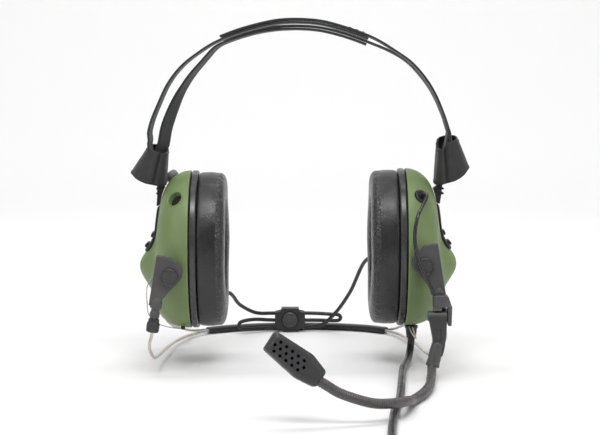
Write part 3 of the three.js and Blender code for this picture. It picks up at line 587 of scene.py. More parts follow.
# boots of the lead at the cup
def boot():
    prof = [(2.5, 0.0), (2.5, 2.2), (3.9, 2.4), (4.05, 3.0), (3.9, 3.9)]
    for i in range(5):
        h = 4.3 + i * 1.15
        r = 3.55 - i * 0.12
        prof += [(r, h), (r, h + 0.7), (r - 0.42, h + 0.78), (r - 0.42, h + 1.08)]
    prof += [(2.9, 10.0), (2.4, 10.0)]
    return lathe("lead_boot", (lx, 0, RIGHT["zc"] - 45.4), (0, 0, -1), rounded(prof, 0.15, 2), MAT["rubber"], 40)


relief = boot()
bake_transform(relief)
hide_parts("lead_strain_relief")

plug_o, plug_d = (52.0, -252.0, 7.2), unit((0.1, -1.0, 0.0))
rubber_part = [(2.6, 0.0), (2.9, 0.4)]
for i in range(5):
    h = 0.8 + i * 1.7
    rubber_part += [(3.0 + i * 0.12, h), (3.0 + i * 0.12, h + 1.1), (2.65 + i * 0.12, h + 1.2), (2.65 + i * 0.12, h + 1.6)]
rubber_part += [(3.4, 9.3), (6.2, 12.0), (7.0, 13.4), (7.0, 14.5), (6.8, 15.2), (6.8, 31.5), (7.0, 32.2), (7.0, 33.3), (6.4, 34.2), (4.6, 34.8), (3.5, 34.9), (1.5, 34.9)]
plug_body = lathe("plug_body", plug_o, plug_d, rounded(rubber_part, 0.3, 3), MAT["plug"], 48)
metal = [(1.0, 34.7), (3.55, 34.8), (3.55, 43.0), (3.5, 43.1)]
ins = [(2.6, 43.0), (3.45, 43.1), (3.45, 44.4), (2.6, 44.5)]
segs = [lathe("pm0", plug_o, plug_d, metal + [(2.0, 43.2)], MAT["brass"], 40)]
for k, (a, b) in enumerate(((44.5, 51.5), (53.0, 60.0))):
    segs.append(lathe(f"pr{k}", plug_o, plug_d, [(1.0, a - 1.5), (3.42, a - 1.5), (3.42, a), (1.0, a)], MAT["plug"], 40))
    segs.append(lathe(f"pm{k + 1}", plug_o, plug_d, [(1.0, a), (3.55, a + 0.05), (3.55, b - 0.05), (1.0, b)], MAT["brass"], 40))
segs.append(lathe("pr9", plug_o, plug_d, [(1.0, 60.0), (3.42, 60.0), (3.42, 61.5), (1.0, 61.5)], MAT["plug"], 40))
segs.append(lathe("pm9", plug_o, plug_d, rounded([(1.0, 61.5), (3.5, 61.6), (3.5, 65.6), (2.5, 67.2), (2.3, 68.0), (3.3, 69.6), (3.2, 70.6), (1.6, 72.8), (0.2, 73.0)], 0.3, 3), MAT["brass"], 40))
plug = join("lead_plug_piece", [plug_body] + segs)
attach(plug, "neckband")
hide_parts("lead_plug")

tie_a = math.radians(200)
tc = np.array([COIL[0] + 22 * math.cos(tie_a), COIL[1] + 22 * math.sin(tie_a), 6.1])
rad = np.array([math.cos(tie_a), math.sin(tie_a), 0])
tie_loop = [tc + rad * (8.2 * math.cos(t)) + np.array([0, 0, 1]) * (6.05 * math.sin(t)) for t in np.linspace(0, 2 * math.pi, 40, endpoint=False)]
tang = np.array([-math.sin(tie_a), math.cos(tie_a), 0])
tie_rings = [[p + tang * a + unit(p - tc) * b for a, b in ((-2.6, -0.25), (2.6, -0.25), (2.6, 0.3), (-2.6, 0.3))] for p in tie_loop]
tie = loft("lead_tie", tie_rings, MAT["web"], loop=True)
tie.data.attributes.new("wv", "FLOAT_VECTOR", "POINT").data.foreach_set("vector", np.array([(i // 4 * 0.0011, (i % 4) * 0.0013, 0) for i in range(160)], np.float32).ravel())
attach(tie, "neckband")

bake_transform(lead)
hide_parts("down_lead", "down_lead_coil")


# ------------------------------------------------------------------ the cups' surface, as in the CAD
A_, B_, DOME, LEAN, BAY, BAY_Z, BAY_UP, BAY_DOWN, BAY_SIDE, DOOR_Z, WALL = 38.0, 47.5, 21.2, 0.07, 29.2, -9.5, 20.5, 21.5, 20.0, -10.5, 2.1


def depth(y, z):
    y, z = np.asarray(y, float), np.asarray(z, float)
    r = np.minimum(1, np.hypot(y / A_, z / B_))
    c = z / B_ / np.maximum(r, 1e-6)
    f = np.sqrt(np.maximum(0, 1 - r ** (3.4 + np.where(c > 0, 1.6, 4.2) * c * c)))
    dome = (DOME - LEAN * np.maximum(z, -10)) * f
    dz = z - BAY_Z
    bay = BAY * np.exp(-((dz / np.where(dz > 0, BAY_UP, BAY_DOWN)) ** 2) - np.abs(y / BAY_SIDE) ** 3) * f
    return (dome ** 4 + bay ** 4) ** 0.25


def surf(cup, y, z):
    return np.array([cup["s"] * (cup["rim"] + float(depth(y, z))), y, cup["zc"] + z])


def snorm(cup, y, z, e=0.2):
    a = surf(cup, y + e, z) - surf(cup, y - e, z)
    b = surf(cup, y, z + e) - surf(cup, y, z - e)
    n = unit(np.cross(a, b))
    return n if n[0] * cup["s"] > 0 else -n


PORT, MICP = (-25.2, 32.4), (10.0, 41.5)


def ellipse_ring(a, b, x, zc, n=128, f=None):
    t = 2 * math.pi * np.arange(n) / n
    y, z = a * np.cos(t), b * np.sin(t)
    xs = np.full(n, x) if f is None else f(y, z)
    return np.stack([xs, y, zc + z], 1)


def bar(a, b, r, r2=None, n=40, name="bar", mat=None):
    a, b = np.asarray(a, float), np.asarray(b, float)
    return lathe(name, a, b - a, [(r, 0), (r if r2 is None else r2, np.linalg.norm(b - a))], mat, n)


def show(ob, body, node=None):
    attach(ob, body)
    if node:
        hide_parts(node)
    return ob


def pad_grain(front=False):
    return MAT["vinyl_front"] if front else MAT["vinyl"]


# the front ring's vinyl: pebbled grain, with painted glints in its colour
MAT["vinyl_front"] = vinyl("cushion_front_grain_painted_glint", (0.011, 0.011, 0.0112), 0.3, 430.0, 0.9, 0.1, 11.0)


def cushion(side, cup):
    s, rim, zc = cup["s"], cup["rim"], cup["zc"]
    prof = [(-1, 0.03), (-1, 0.3), (-0.97, 0.55), (-0.88, 0.76), (-0.74, 0.89), (-0.55, 0.965), (-0.3, 0.995), (0.0, 1.0), (0.28, 0.995), (0.55, 0.975), (0.75, 0.935), (0.88, 0.87),
            (0.96, 0.79), (0.99, 0.69), (1.0, 0.52), (1.0, 0.36), (0.997, 0.22), (0.985, 0.11), (0.955, 0.04), (0.9, 0.012), (0.5, 0.0), (0.0, 0.0), (-0.5, 0.0), (-0.93, 0.0)]
    n = 132
    rings = []
    for i in range(n):
        t = 2 * math.pi * i / n
        ring = []
        for u, d in prof:
            k = (u + 1) / 2
            a, b = 18.4 + 18.7 * k, 27.4 + 19.1 * k
            ring.append((s * (rim - 4.95 - 16.2 * d), a * math.cos(t), zc + b * math.sin(t)))
        rings.append(ring)
    ob = loft(f"{side}_cushion_cover", rings, None, loop=True)
    m = len(prof)
    rest = np.array([v.co for v in ob.data.vertices])
    g = ob.vertex_groups.new(name="pin")
    g.add([i for i in range(n * m) if prof[i % m][1] < 0.06], 1.0, "REPLACE")
    c = ob.modifiers.new("cloth", "CLOTH")
    c.settings.quality = 4
    c.settings.mass = 0.15
    c.settings.tension_stiffness = 15
    c.settings.compression_stiffness = 12
    c.settings.bending_stiffness = 1.5
    c.settings.use_pressure = True
    c.settings.uniform_pressure_force = 4.0
    c.settings.vertex_group_mass = "pin"
    c.settings.effector_weights.gravity = 0.0
    c.collision_settings.use_collision = False
    c.point_cache.frame_start, c.point_cache.frame_end = 1, 20
    for f in range(1, 21):
        bpy.context.scene.frame_set(f)
    bake_modifiers(ob)
    bpy.context.scene.frame_set(1)
    co = np.array([v.co for v in ob.data.vertices])
    d = co - rest
    L = np.linalg.norm(d, axis=1)
    print(side, "cushion swelled", round(float(L.max()) * 1000, 2), "mm")
    d *= (np.minimum(L, 0.0007) / np.maximum(L, 1e-9))[:, None]
    # a welded seam where the side wall meets the front ring, and the slack either side of it
    idx = np.arange(n * m)
    k, i = idx % m, idx // m
    nrm = np.zeros((n * m, 3))
    ob.data.vertices.foreach_get("normal", buf := np.zeros(n * m * 3, np.float32))
    nrm = buf.reshape(-1, 3).astype(float)
    t = 2 * np.pi * i / n
    puff = np.zeros(n * m)
    puff[k == 13] = -0.50
    puff[(k == 12) | (k == 14)] = 0.05
    pucker = 0.13 * np.sin(t * 37 + 1.3 * np.sin(t * 3)) * np.exp(-((k - 12.0) / 1.6) ** 2) + 0.10 * np.sin(t * 23 + 2) * np.exp(-((k - 3.0) / 1.5) ** 2) + 0.22 * np.sin(t * 5 + 0.7) * np.exp(-((k - 8.0) / 3.0) ** 2)
    off = (puff + pucker) / 1000
    off[(k >= 18) | (k == 0)] = 0
    new = rest + d + nrm * off[:, None]
    ob.data.vertices.foreach_set("co", new.astype(np.float32).ravel())
    ob.data.materials.clear()
    ob.data.materials.append(MAT["vinyl"])
    ob.data.materials.append(MAT["vinyl_front"])
    for p in ob.data.polygons:
        kk = sorted(v % m for v in p.vertices)
        p.material_index = 1 if kk[-1] <= 13 and kk[0] >= 2 else 0
    sub = ob.modifiers.new("sub", "SUBSURF")
    sub.levels = sub.render_levels = 2
    bake_modifiers(ob)
    smooth(ob, 60)
    # keep clear of the base plate and of the ear seal's plane
    co = np.array([v.co for v in ob.data.vertices])
    lo, hi = sorted((s * (rim - 4.95) / 1000, s * (rim - 21.9) / 1000))
    co[:, 0] = np.clip(co[:, 0], lo, hi)
    ob.data.vertices.foreach_set("co", co.astype(np.float32).ravel())
    show(ob, f"{side}_cup", f"{side}_cushion")
    return ob


for side, cup in (("left", LEFT), ("right", RIGHT)):
    s, rim, zc = cup["s"], cup["rim"], cup["zc"]
    body = f"{side}_cup"

    def X(h):
        return s * (rim + h)

    # shell
    n = 168
    rr = np.concatenate([[0.004], np.linspace(0.03, 0.9, 44), 1 - 0.1 * (1 - np.linspace(0, 1, 16)[1:]) ** 2.2])
    rings = [ellipse_ring(A_ * r, B_ * r, 0, zc, n, lambda y, z: s * (rim + depth(y, z))) for r in rr[:-1]]
    rings += [ellipse_ring(A_, B_, X(0.9), zc, n), ellipse_ring(A_, B_, X(0.25), zc, n), ellipse_ring(A_ - 0.25, B_ - 0.25, X(0), zc, n)]
    rings += [ellipse_ring(A_ - WALL, B_ - WALL, X(0), zc, n)]
    for r in (0.97, 0.92, 0.86, 0.78, 0.7, 0.6, 0.5, 0.4, 0.3, 0.2, 0.1, 0.01):
        def inner(y, z):
            d = depth(y * A_ / (A_ - WALL), z * B_ / (B_ - WALL))
            return s * (rim + d - WALL * np.minimum(1, d / 12))
        rings.append(ellipse_ring((A_ - WALL) * r, (B_ - WALL) * r, 0, zc, n, inner))
    shell = loft(f"{side}_shell_skin", rings, MAT["green"], angle=50)
    px, pz = cup["pivot"]
    pc, pn = surf(cup, *PORT), snorm(cup, *PORT)
    doorz = zc + DOOR_Z
    cuts = [bar((s * px, -60, pz), (s * px, 60, pz), 2.8), bar((X(24), 0, doorz), (X(40), 0, doorz), 8.3, n=64), bar((X(7), 24, zc - 24), (X(7), 44, zc - 46), 2.3)]
    if side == "right":
        cuts += [bar((X(4.5), 0, zc - 52), (X(4.5), 0, zc - 38), 2.9), bar(pc - pn * 6, pc + pn * 4, 4.6, n=56)]
    else:
        mc, mn = surf(cup, *MICP), snorm(cup, *MICP)
        cuts += [bar(mc - mn * 6, mc + mn * 6, 2.3)]
        cuts += [bar(pc - pn * 4.2, pc + pn * 4, 4.72, n=56)]
    cut(shell, *cuts, angle=50)
    if side == "left":
        well = lathe("well", pc - pn * 4.75, pn, rounded([(5.1, 0), (5.4, 3.2), (5.35, 4.3), (4.95, 4.9), (4.55, 4.6), (4.05, 1.1), (0.05, 1.05)], 0.3, 3), MAT["green"], 56)
        # the well's bottom is a near-black disc: painted shade in the recess
        disc = lathe("well_bottom", pc - pn * 3.75, pn, [(3.9, 0), (3.9, 0.4), (0.1, 0.5)], MAT["hole"], 40)
        shell = join(f"{side}_shell_skin", [shell, well, disc])
        smooth(shell, 50)
    show(shell, body, f"{side}_shell")

    # base plate: a satin ring with a shadow groove against the shell
    prof = rounded([(24, 33, -4.6), (24, 33, -0.35), (36.3, 45.8, -0.35), (36.5, 46.0, -0.95), (37.95, 47.45, -1.05), (38.0, 47.5, -4.0), (37.2, 46.7, -4.6)], 0.4, 4)
    rings = [ellipse_ring(a, b, X(h), zc, 168) for a, b, h in prof] + [ellipse_ring(24, 33, X(-4.6), zc, 168)]
    plate = loft(f"{side}_rim_plate", rings, MAT["rim"], loop=True, angle=40)
    show(plate, body, f"{side}_base_plate")

    cushion(side, cup)

    # foam liner: a dished pad behind the ear opening
    rings = []
    for k, h in ((0.02, 1.2), (0.35, 1.1), (0.7, 0.8), (0.9, 0.5), (0.97, 0.7), (1.0, 1.4), (1.0, 3.6), (0.97, 4.3), (0.8, 4.4), (0.02, 4.4)):
        rings.append(ellipse_ring(29.4 * k, 38.9 * k, X(h), zc, 96))
    liner = loft(f"{side}_liner_pad", rings, MAT["foam"], angle=60)
    show(liner, body, f"{side}_foam_liner")

    # panel that follows the shell, with rounded corners, and its two buttons
    def patch(y0, z0):
        p = surf(cup, y0, z0)
        return p, snorm(cup, y0, z0)
    ny, nz = 29, 61
    zc0, hz_, hy_ = 12.55, 13.5, 10.8
    top_, bot_ = [], []
    for j in range(nz):
        for i in range(ny):
            a, b = -1 + 2 * i / (ny - 1), -1 + 2 * j / (nz - 1)
            # square to rounded rectangle
            p = (abs(a) ** 6 + abs(b) ** 6) ** (1 / 6)
            q = max(abs(a), abs(b))
            k = q / p if p > 0 else 1
            y, z = a * k * hy_, zc0 + b * k * hz_
            c, nrm_ = patch(y, z)
            edge = max(0.0, (q - 0.9) / 0.1)
            bot_.append(c + nrm_ * 0.4)
            top_.append(c + nrm_ * (1.38 - 0.55 * edge ** 2.2))
    V_ = np.array(top_ + bot_)
    F_ = []
    N1 = ny * nz
    for j in range(nz - 1):
        for i in range(ny - 1):
            a = j * ny + i
            F_.append((a, a + 1, a + ny + 1, a + ny))
            F_.append((N1 + a, N1 + a + ny, N1 + a + ny + 1, N1 + a + 1))
    loop_ = [i for i in range(ny)] + [j * ny + ny - 1 for j in range(1, nz)] + [(nz - 1) * ny + i for i in range(ny - 2, -1, -1)] + [j * ny for j in range(nz - 2, 0, -1)]
    for a, b in zip(loop_, loop_[1:] + loop_[:1]):
        F_.append((a, b, N1 + b, N1 + a))
    panel = mesh_obj(f"{side}_panel_skin", V_, F_, MAT["panel"], 50)
    blocks, keys = [], []
    for name, z in (("upper", 8.4), ("lower", 1.9)):
        p, nn = surf(cup, 0, z), snorm(cup, 0, z)
        t_ = np.array([0, 1.0, 0])
        w_ = np.cross(nn, t_)

        def pill(h, hy, hw, k=5.0, m_=48):
            out = []
            for q in range(m_):
                th = 2 * math.pi * q / m_
                c_, s_ = math.cos(th), math.sin(th)
                out.append(p + nn * h + t_ * hy * math.copysign(abs(c_) ** (2 / k), c_) + w_ * hw * math.copysign(abs(s_) ** (2 / k), s_))
            return out
        blocks.append(loft("blk", [pill(-4, 6.05, 2.05), pill(6, 6.05, 2.05)]))
        key = loft(f"{side}_key_{name}", [pill(1.2, 5.5, 1.62), pill(2.05, 5.6, 1.68), pill(2.45, 5.45, 1.55), pill(2.7, 5.1, 1.25), pill(2.76, 4.6, 0.8), pill(2.66, 3.8, 0.4)], MAT["button"], angle=50)
        show(key, f"{side}_button_{name}", f"{side}_button_{name}")
    cut(panel, *blocks, angle=50)
    show(panel, body, f"{side}_face_panel")

    # battery door with a coin slot
    dh = float(depth(0, DOOR_Z))
    tt_ = 2 * math.pi * np.arange(72) / 72
    rings = []
    for r_, lift in ((0.03, 0), (1.5, 0), (3, 0), (4.5, 0), (5.8, 0), (6.8, 0), (7.35, -0.03), (7.62, -0.15), (7.75, -0.4)):
        y_, z_ = r_ * np.cos(tt_), r_ * np.sin(tt_)
        rings.append(np.stack([s * (rim + depth(y_, z_ + DOOR_Z) + lift), y_, doorz + z_], 1))
    for r_, h in ((7.75, dh - 5.9), (7.5, dh - 6.3), (0.03, dh - 6.3)):
        rings.append(np.stack([np.full(72, X(h)), r_ * np.cos(tt_), doorz + r_ * np.sin(tt_)], 1))
    door = loft(f"{side}_door_cap", rings, MAT["green"], angle=50)
    sl = slab("slot", rounded_loop([(X(dh - 1.4), doorz - 5.4), (X(dh + 2), doorz - 5.4), (X(dh + 2), doorz + 5.4), (X(dh - 1.4), doorz + 5.4)], 0.6, 3), -0.85, 0.85, bevel=0)
    cut(door, sl, angle=50)
    show(door, f"{side}_door", f"{side}_battery_door")

    # speaker, board and cell inside
    spk = lathe(f"{side}_driver", (X(5.4), 0, zc + 8), (s, 0, 0), rounded([(0.05, 0.6), (8, 0.15), (14, 0.9), (16.8, 0.0), (18.8, 0.1), (19, 2), (16, 3), (7.4, 3.2), (7.3, 7), (0.05, 7)], 0.4, 3), MAT["dark_steel"], 64)
    show(spk, body, f"{side}_speaker")
    bd = slab(f"{side}_board_piece", [(X(10.2), zc + 17.1), (X(11.4), zc + 17.1), (X(11.4), zc + 30.9), (X(10.2), zc + 30.9)], -9.9, 9.9, MAT["board"], 0.1, 1)
    show(bd, body, f"{side}_circuit_board")
    cell = lathe(f"{side}_cell_can", (X(15.6), -11.4, doorz), (0, 1, 0), rounded([(0.05, 0.4), (2.6, 0.4), (2.7, 0.05), (5.6, 0.2), (7.3, 0.4), (7.35, 22.3), (6.4, 22.75), (0.05, 22.75)], 0.4, 3), MAT["cell"], 48)
    show(cell, body, f"{side}_battery")

    # pivot studs with a dished head
    for name, f in (("front", -1), ("rear", 1)):
        o = (s * px, f * 47.35, pz)
        pv = lathe(f"{side}_stud_{name}", o, (0, -f, 0), rounded([(0.05, 0.42), (4.25, 0.4), (4.45, 0.02), (4.9, 0.0), (5.25, 0.45), (5.3, 2.05), (2.5, 2.06), (2.5, 16.4), (0.05, 16.4)], 0.22, 4), MAT["pivot"], 72)
        show(pv, body, f"{side}_pivot_{name}")

    # strap hanger, a moulded tab with cross ribs
    hz = zc + 26.6
    lf = side == "left"
    outline = rounded_loop([(s * a_, b_) for a_, b_ in ((85.6, 113), (82.5, 113), (82.3, 107.2), (80.6 if lf else 79.8, 105.6), (rim + 13.5, 103), (rim + 19.3, hz), (rim + 20.7, hz), (85.4 if lf else 84.4, 101))], 1.0, 4)
    hang = slab(f"{side}_hanger_tab", outline, -6.4, 2.4, MAT["hanger"], 0.5, 4)
    over = loft("over", [ellipse_ring(A_ * r, B_ * r, 0, zc, 96, lambda y, z: s * (rim + depth(y, z))) + [s * 0.45, 0, 0.32] for r in np.concatenate([[0.004], np.linspace(0.05, 0.96, 34)])] + [ellipse_ring(A_ * 0.96, B_ * 0.96, X(2), zc, 96)])
    ribs = []
    for k in range(4):
        z = 111.2 - k * 2.9
        ribs.append(slab("rib", [(s * 85.95, z - 0.55), (s * 85.95, z + 0.55), (s * 82.6, z + 0.55), (s * 82.6, z - 0.55)], -6.65, 2.65, MAT["hanger"], 0.4, 2))
    cut(hang, over)
    hang = join(f"{side}_hanger_tab", [hang] + ribs)
    show(hang, body, f"{side}_strap_hanger")

    if side == "left":
        hood = lathe("ambient_hood", mc - mn * 3, mn, rounded([(0.05, 0), (1.95, 0), (1.95, 3.6), (3.9, 3.8), (4.35, 5.2), (4.2, 6.9), (3.7, 7.9), (2.9, 8.1), (2.6, 7.4), (2.4, 5.4), (0.05, 5.3)], 0.35, 3), MAT["lug"], 56)
        wool = lathe("wool", mc - mn * 3, mn, [(0.05, 5.35), (2.35, 5.45), (2.3, 6.9), (1.4, 7.4), (0.05, 7.5)], MAT["foam"], 40)
        hood = join("ambient_hood", [hood, wool])
        show(hood, body, "ambient_mic")
        # thin tether along the outside of the bay, into the shell's lower edge
        teth = catmull([surf(cup, -14, -15) + [1.5, 0, 0], [-90.9, -17, 47.0], [-90.6, -20, 39.1], [-89.8, -20, 32.2], [-85.6, -19, 26.6], [-79.5, -17, 23.9], [-72.8, -15, 22.5], [-70.2, -14, 22.3], [-69.9, -13.7, 23.4]], 90)
        wire_t = tube("left_tether", teth, 0.33, MAT["steel"], 10)
        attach(wire_t, body)
        clip = lathe("tether_clip", (-69.9, -13.7, 23.7), (0, -0.2, -1), rounded([(0.05, 0), (1.3, 0), (1.3, 1.6), (0.9, 2.1), (0.05, 2.1)], 0.25, 3), MAT["rubber"], 32)
        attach(clip, body)
    else:
        gm = lathe("boom_grommet", pc - pn * 3, pn, rounded([(1.35, 0), (4.2, 0), (4.28, 3.1), (4.2, 3.5), (3.75, 3.9), (3.1, 3.85), (2.3, 3.3), (1.5, 3.2), (1.35, 2.6)], 0.25, 3), MAT["rubber"], 56)
        m_ = gm.modifiers.new("w", "WELD")
        gm.modifiers.remove(m_)
        show(gm, body, "boom_cable_grommet")
        loopv = catmull([[X(2.4), -9, zc - 46.9], [X(4.0), -12, zc - 50.8], [X(6.6), -13, zc - 54.2], [X(5.6), -12, zc - 51.2], [X(4.4), -10, zc - 47.2]], 40)
        vl = tube("right_tether", loopv, 0.35, MAT["steel"], 10)
        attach(vl, body)

# ------------------------------------------------------------------ arms and ferrules
def arc(cx, cz, r, a0, a1, n):
    return [(cx + r * math.cos(math.radians(a0 + (a1 - a0) * i / n)), cz + r * math.sin(math.radians(a0 + (a1 - a0) * i / n))) for i in range(n + 1)]


ARM_Y, ARM_T = 43.0, 4.0
ARMS = {
    "left": dict(cup=LEFT, outline=[(-82.4, 69.8), (-74.2, 68.1)] + arc(-75.1, 59.6, 7.4, 72, -38, 16) + [(-80.6, 42.6), (-80.9, 40.8), (-87.3, 40.8)], axis=((-85.45, 25), (-78.6, 69.9))),
    "right": dict(cup=RIGHT, outline=[(79.1, 76.8), (84.2, 46.2), (78.0, 46.2), (77.6, 48.0)] + arc(71.6, 65.7, 7.4, 216, 110, 16) + [(71.0, 75.2)], axis=((83.0, 30.9), (76.0, 76.5))),
}
for side, a in ARMS.items():
    p0, p1 = np.array(a["axis"][0], float), np.array(a["axis"][1], float)
    d = unit(p1 - p0)
    a["at"] = lambda t, y, p0=p0, d=d: np.array([p0[0] + d[0] * t, y, p0[1] + d[1] * t])
    a["dir"] = np.array([d[0], 0, d[1]])
    px, pz = a["cup"]["pivot"]
    px *= a["cup"]["s"]
    for name, f in (("front", -1), ("rear", 1)):
        y = f * ARM_Y
        arm = slab(f"{side}_arm_plate_{name}", a["outline"], y - ARM_T / 2, y + ARM_T / 2, MAT["arm"], 0.55, 4)
        neck = lathe("neck", a["at"](8.2, y), a["dir"], rounded([(0.05, 0), (2.45, 0), (2.9, 0.8), (2.9, 3.4), (2.45, 4.1), (2.45, 5.4), (3.4, 6.1), (3.45, 9.4), (2.2, 12.4), (0.05, 12.5)], 0.4, 3), MAT["arm"], 48)
        cut(arm, neck, op="UNION")
        cut(arm, bar(a["at"](0, y), a["at"](60, y), 1.3), bar((px, y - 5, pz), (px, y + 5, pz), 2.8))
        show(arm, f"{side}_arm", f"{side}_arm_{name}")
        fer = lathe(f"{side}_ferrule_piece_{name}", a["at"](0, y), a["dir"], rounded([(1.25, 0), (3.1, 0), (3.75, 0.7), (3.8, 1.5), (3.55, 1.8), (3.8, 2.1), (3.8, 5.0), (3.2, 6.1), (3.15, 7.9), (1.25, 7.9)], 0.3, 3), MAT["ferrule"], 56)
        show(fer, "neckband", f"{side}_ferrule_{name}")

# ------------------------------------------------------------------ neckband
SLEEVE = [[-62, 99, 2.1], [-47, 108, 2.1], [-30, 114, 2.1], [-10, 117.3, 2.1], [9, 117.3, 2.1], [28, 114, 2.1], [45, 108, 2.1], [58, 99, 2.1]]
mid14 = catmull(SLEEVE, 14)
mid = catmull(SLEEVE, 120)


def offset_line(line, d):
    t = np.gradient(line, axis=0)
    t[:, 2] = 0
    t /= np.linalg.norm(t, axis=1)[:, None]
    return np.stack([line[:, 0] - t[:, 1] * d, line[:, 1] + t[:, 0] * d, line[:, 2]], 1)


def squircle(w, h, k=3.0, n=32):
    out = []
    for i in range(n):
        th = 2 * math.pi * (i + 0.5) / n
        c, s = math.cos(th), math.sin(th)
        out.append((h * math.copysign(abs(s) ** (2 / k), s), w * math.copysign(abs(c) ** (2 / k), c)))
    return out


def sleeve_sec(i, s, total):
    e = min(s, total - s)
    k = 1.0 if e > 6 else 0.86 + 0.14 * min(1, e / 1.2) if e < 1.2 else 1.0
    return squircle(3.38 * k, 2.08 * k)


slv = sweep("neckband_sleeve_tube", mid, sleeve_sec, MAT["rubber"], side=lambda t: (0, 0, 1))
ext = lambda ln: np.vstack([ln[:1] + unit(ln[0] - ln[1]) * 6, ln, ln[-1:] + unit(ln[-1] - ln[-2]) * 6])
cut(slv, tube("w1", ext(offset_line(mid, -1.55)), 1.2, None, 16), tube("w2", ext(offset_line(mid, 1.55)), 1.2, None, 16))
show(slv, "neckband", "neckband_sleeve")


def wire(name, off, y, left_mid, right_mid, node):
    line = offset_line(mid, off)
    L_, R_ = ARMS["left"]["at"], ARMS["right"]["at"]
    left = catmull([L_(-2, y)] + left_mid + [line[0]], 110)
    right = catmull([line[-1]] + right_mid + [R_(-2, y)], 110)
    pts = np.vstack([[L_(27, y)], [L_(6, y)], left[:-1], line, right[1:], [R_(6, y)], [R_(27, y)]])
    pts = respace(pts, 620)
    ob = tube(name, pts, 0.95, MAT["steel"], 16)
    return show(ob, "neckband", node)


wire("wire_front", -1.55, -ARM_Y, [[-87.2, -43, 16.5], [-85.6, -38, 9.6], [-84.8, -26, 7.4], [-82.2, 20, 4.9], [-77.7, 60, 2.9], [-69.6, 86, 2.1]],
     [[65.2, 84, 2.1], [69.8, 58, 3.1], [73.0, 38, 4.0], [77.5, -20, 8.0], [81.5, -36, 13.5], [84.2, -42.2, 22]], "neckband_wire_front")
wire("wire_rear", 1.55, ARM_Y, [[-84.9, 44, 18.6], [-81.4, 50, 13.6], [-76.6, 64, 9.4], [-70.6, 91.6, 3.2]], [[63.4, 93, 4.2], [66, 84, 7], [73.6, 63, 13.6], [80.6, 49, 19.2], [83.2, 44.2, 25.2]], "neckband_wire_rear")

# ------------------------------------------------------------------ crossover cable, in two halves that meet in the keeper
XC = [[-(65.2 + 7), 32.2, 68.4 - 33], [-(65.2 + 4), 41, 68.4 - 41], [-58, 52, 30], [-47, 62, 33], [-39.5, 84, 21.5], [-29, 101, 13.6], [-20, 108.6, 12.2], [-12, 109.9, 12.1], [-2, 109.9, 12.1], [12, 109.6, 11.9], [21, 108.6, 11.5], [25.6, 107.95, 11.35], [27.1, 107.8, 10.75], [27.7, 107.7, 9.3], [27.1, 107.8, 7.85], [25.6, 107.95, 7.25], [21, 108.6, 7.1], [12, 109.6, 7.2], [-2, 109.9, 7.2], [-12, 109.9, 7.2], [-21, 108.3, 7.6], [-31, 104.4, 8.6], [-39.1, 99.6, 7.95], [-40.6, 98.6, 7.2], [-41.2, 98.2, 5.45], [-40.6, 98.6, 3.7], [-39.1, 99.6, 2.95], [-31, 104.4, 2.2], [-21, 108.2, 2.2], [-12, 109.9, 2.3], [-2, 109.9, 2.4], [7, 109.6, 2.8], [15, 107, 4.6], [24, 100, 14], [33, 84, 30], [43, 58, 55], [52, 44, 58], [63.0 + 1, 41.5, 44], [63.0 + 7, 32.6, 69.8 - 33]]
xl = catmull(XC, 900)
for _ in range(8):
    xl[1:-1] = (xl[:-2] + 2 * xl[1:-1] + xl[2:]) / 4
s_all = np.concatenate([[0], np.cumsum(np.linalg.norm(np.diff(xl, axis=0), axis=1))])
k_mid = int(np.argmin(np.linalg.norm(xl - np.array([-2, 109.9, 7.2]), axis=1)))
for nm, pts, arm, a_, b_ in (("crossover_left", xl[:k_mid + 1], "left_arm", (-47, 62, 33), (-70, 40, 28)), ("crossover_right", xl[k_mid:][::-1], "right_arm", (33, 84, 30), (66, 41, 42))):
    c_ = tube(nm, pts, 1.25, MAT["cable"], 16)
    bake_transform(c_)
    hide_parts("crossover_cable")

# keeper and its push button
kp = slab("keeper_block", rounded_loop([(-12.8, 0.9), (-11.6, 0), (-2, 0), (-0.8, 0.9), (-0.8, 1.5), (3.4, 2.2), (3.4, 13), (-0.8, 13.8), (-0.8, 15.8), (-12.8, 15.8), (-12.8, 13.8), (-17, 13), (-17, 2.2), (-12.8, 1.5)], 0.8, 4), 106, 122.6, MAT["keeper"], 0.5, 3)
box1 = lambda x0, x1, y0, y1, z0, z1: slab("b", [(x0, z0), (x1, z0), (x1, z1), (x0, z1)], y0, y1, bevel=0)
cut(kp, box1(-20, 8, 107.5, 112.0, 0.75, 13.9), box1(-20, 8, 112.6, 121.4, -1, 4.8), box1(-20, 8, 114.5, 124, 7, 17), bar((-6.8, 104, 8), (-6.8, 107.2, 8), 5.8, n=56))
show(kp, "neckband", "cable_keeper")
kb = lathe("keeper_key", (-6.8, 103.6, 8), (0, 1, 0), rounded([(0.05, 0.5), (3.4, 0.35), (3.9, 0.0), (4.7, 0.0), (5.4, 0.7), (5.4, 2.2), (0.05, 2.2)], 0.35, 4), MAT["pivot"], 64)
show(kb, "keeper_button", "keeper_button")

# ------------------------------------------------------------------ boom
HINGE = (78.6, -50.2, 35.6)
GOOSE = [[75.6, -51, 10.4], [75.5, -52.4, 7.2], [75.0, -58, 4.6], [73.6, -70, 3.6], [71.2, -88, 3.1], [66, -108, 2.86], [59.4, -124.5, 2.86], [54.6, -145, 6.6], [48.8, -157, 8.3], [37.5, -165, 9.8], [28.2, -168, 12.6], [18.8, -169.5, 16.4], [13.2, -171.3, 20.2], [8.8, -172.2, 23.0]]
R_ = ARMS["right"]
clamp = slab("clamp_block", rounded_loop([(76.2, 40.9), (86.8, 40.9), (84.6, 47.4), (76.2, 47.4)], 0.8, 4), -53.6, -45.3, MAT["arm"], 0.5, 3)
ear = slab("ear", rounded_loop([(84.5, 41.6), (84.5, 30.2), (86.6, 30.2), (86.9, 41.6)], 0.6, 4), -53.6, -47.3, MAT["arm"], 0.5, 3)
cut(clamp, ear, op="UNION")
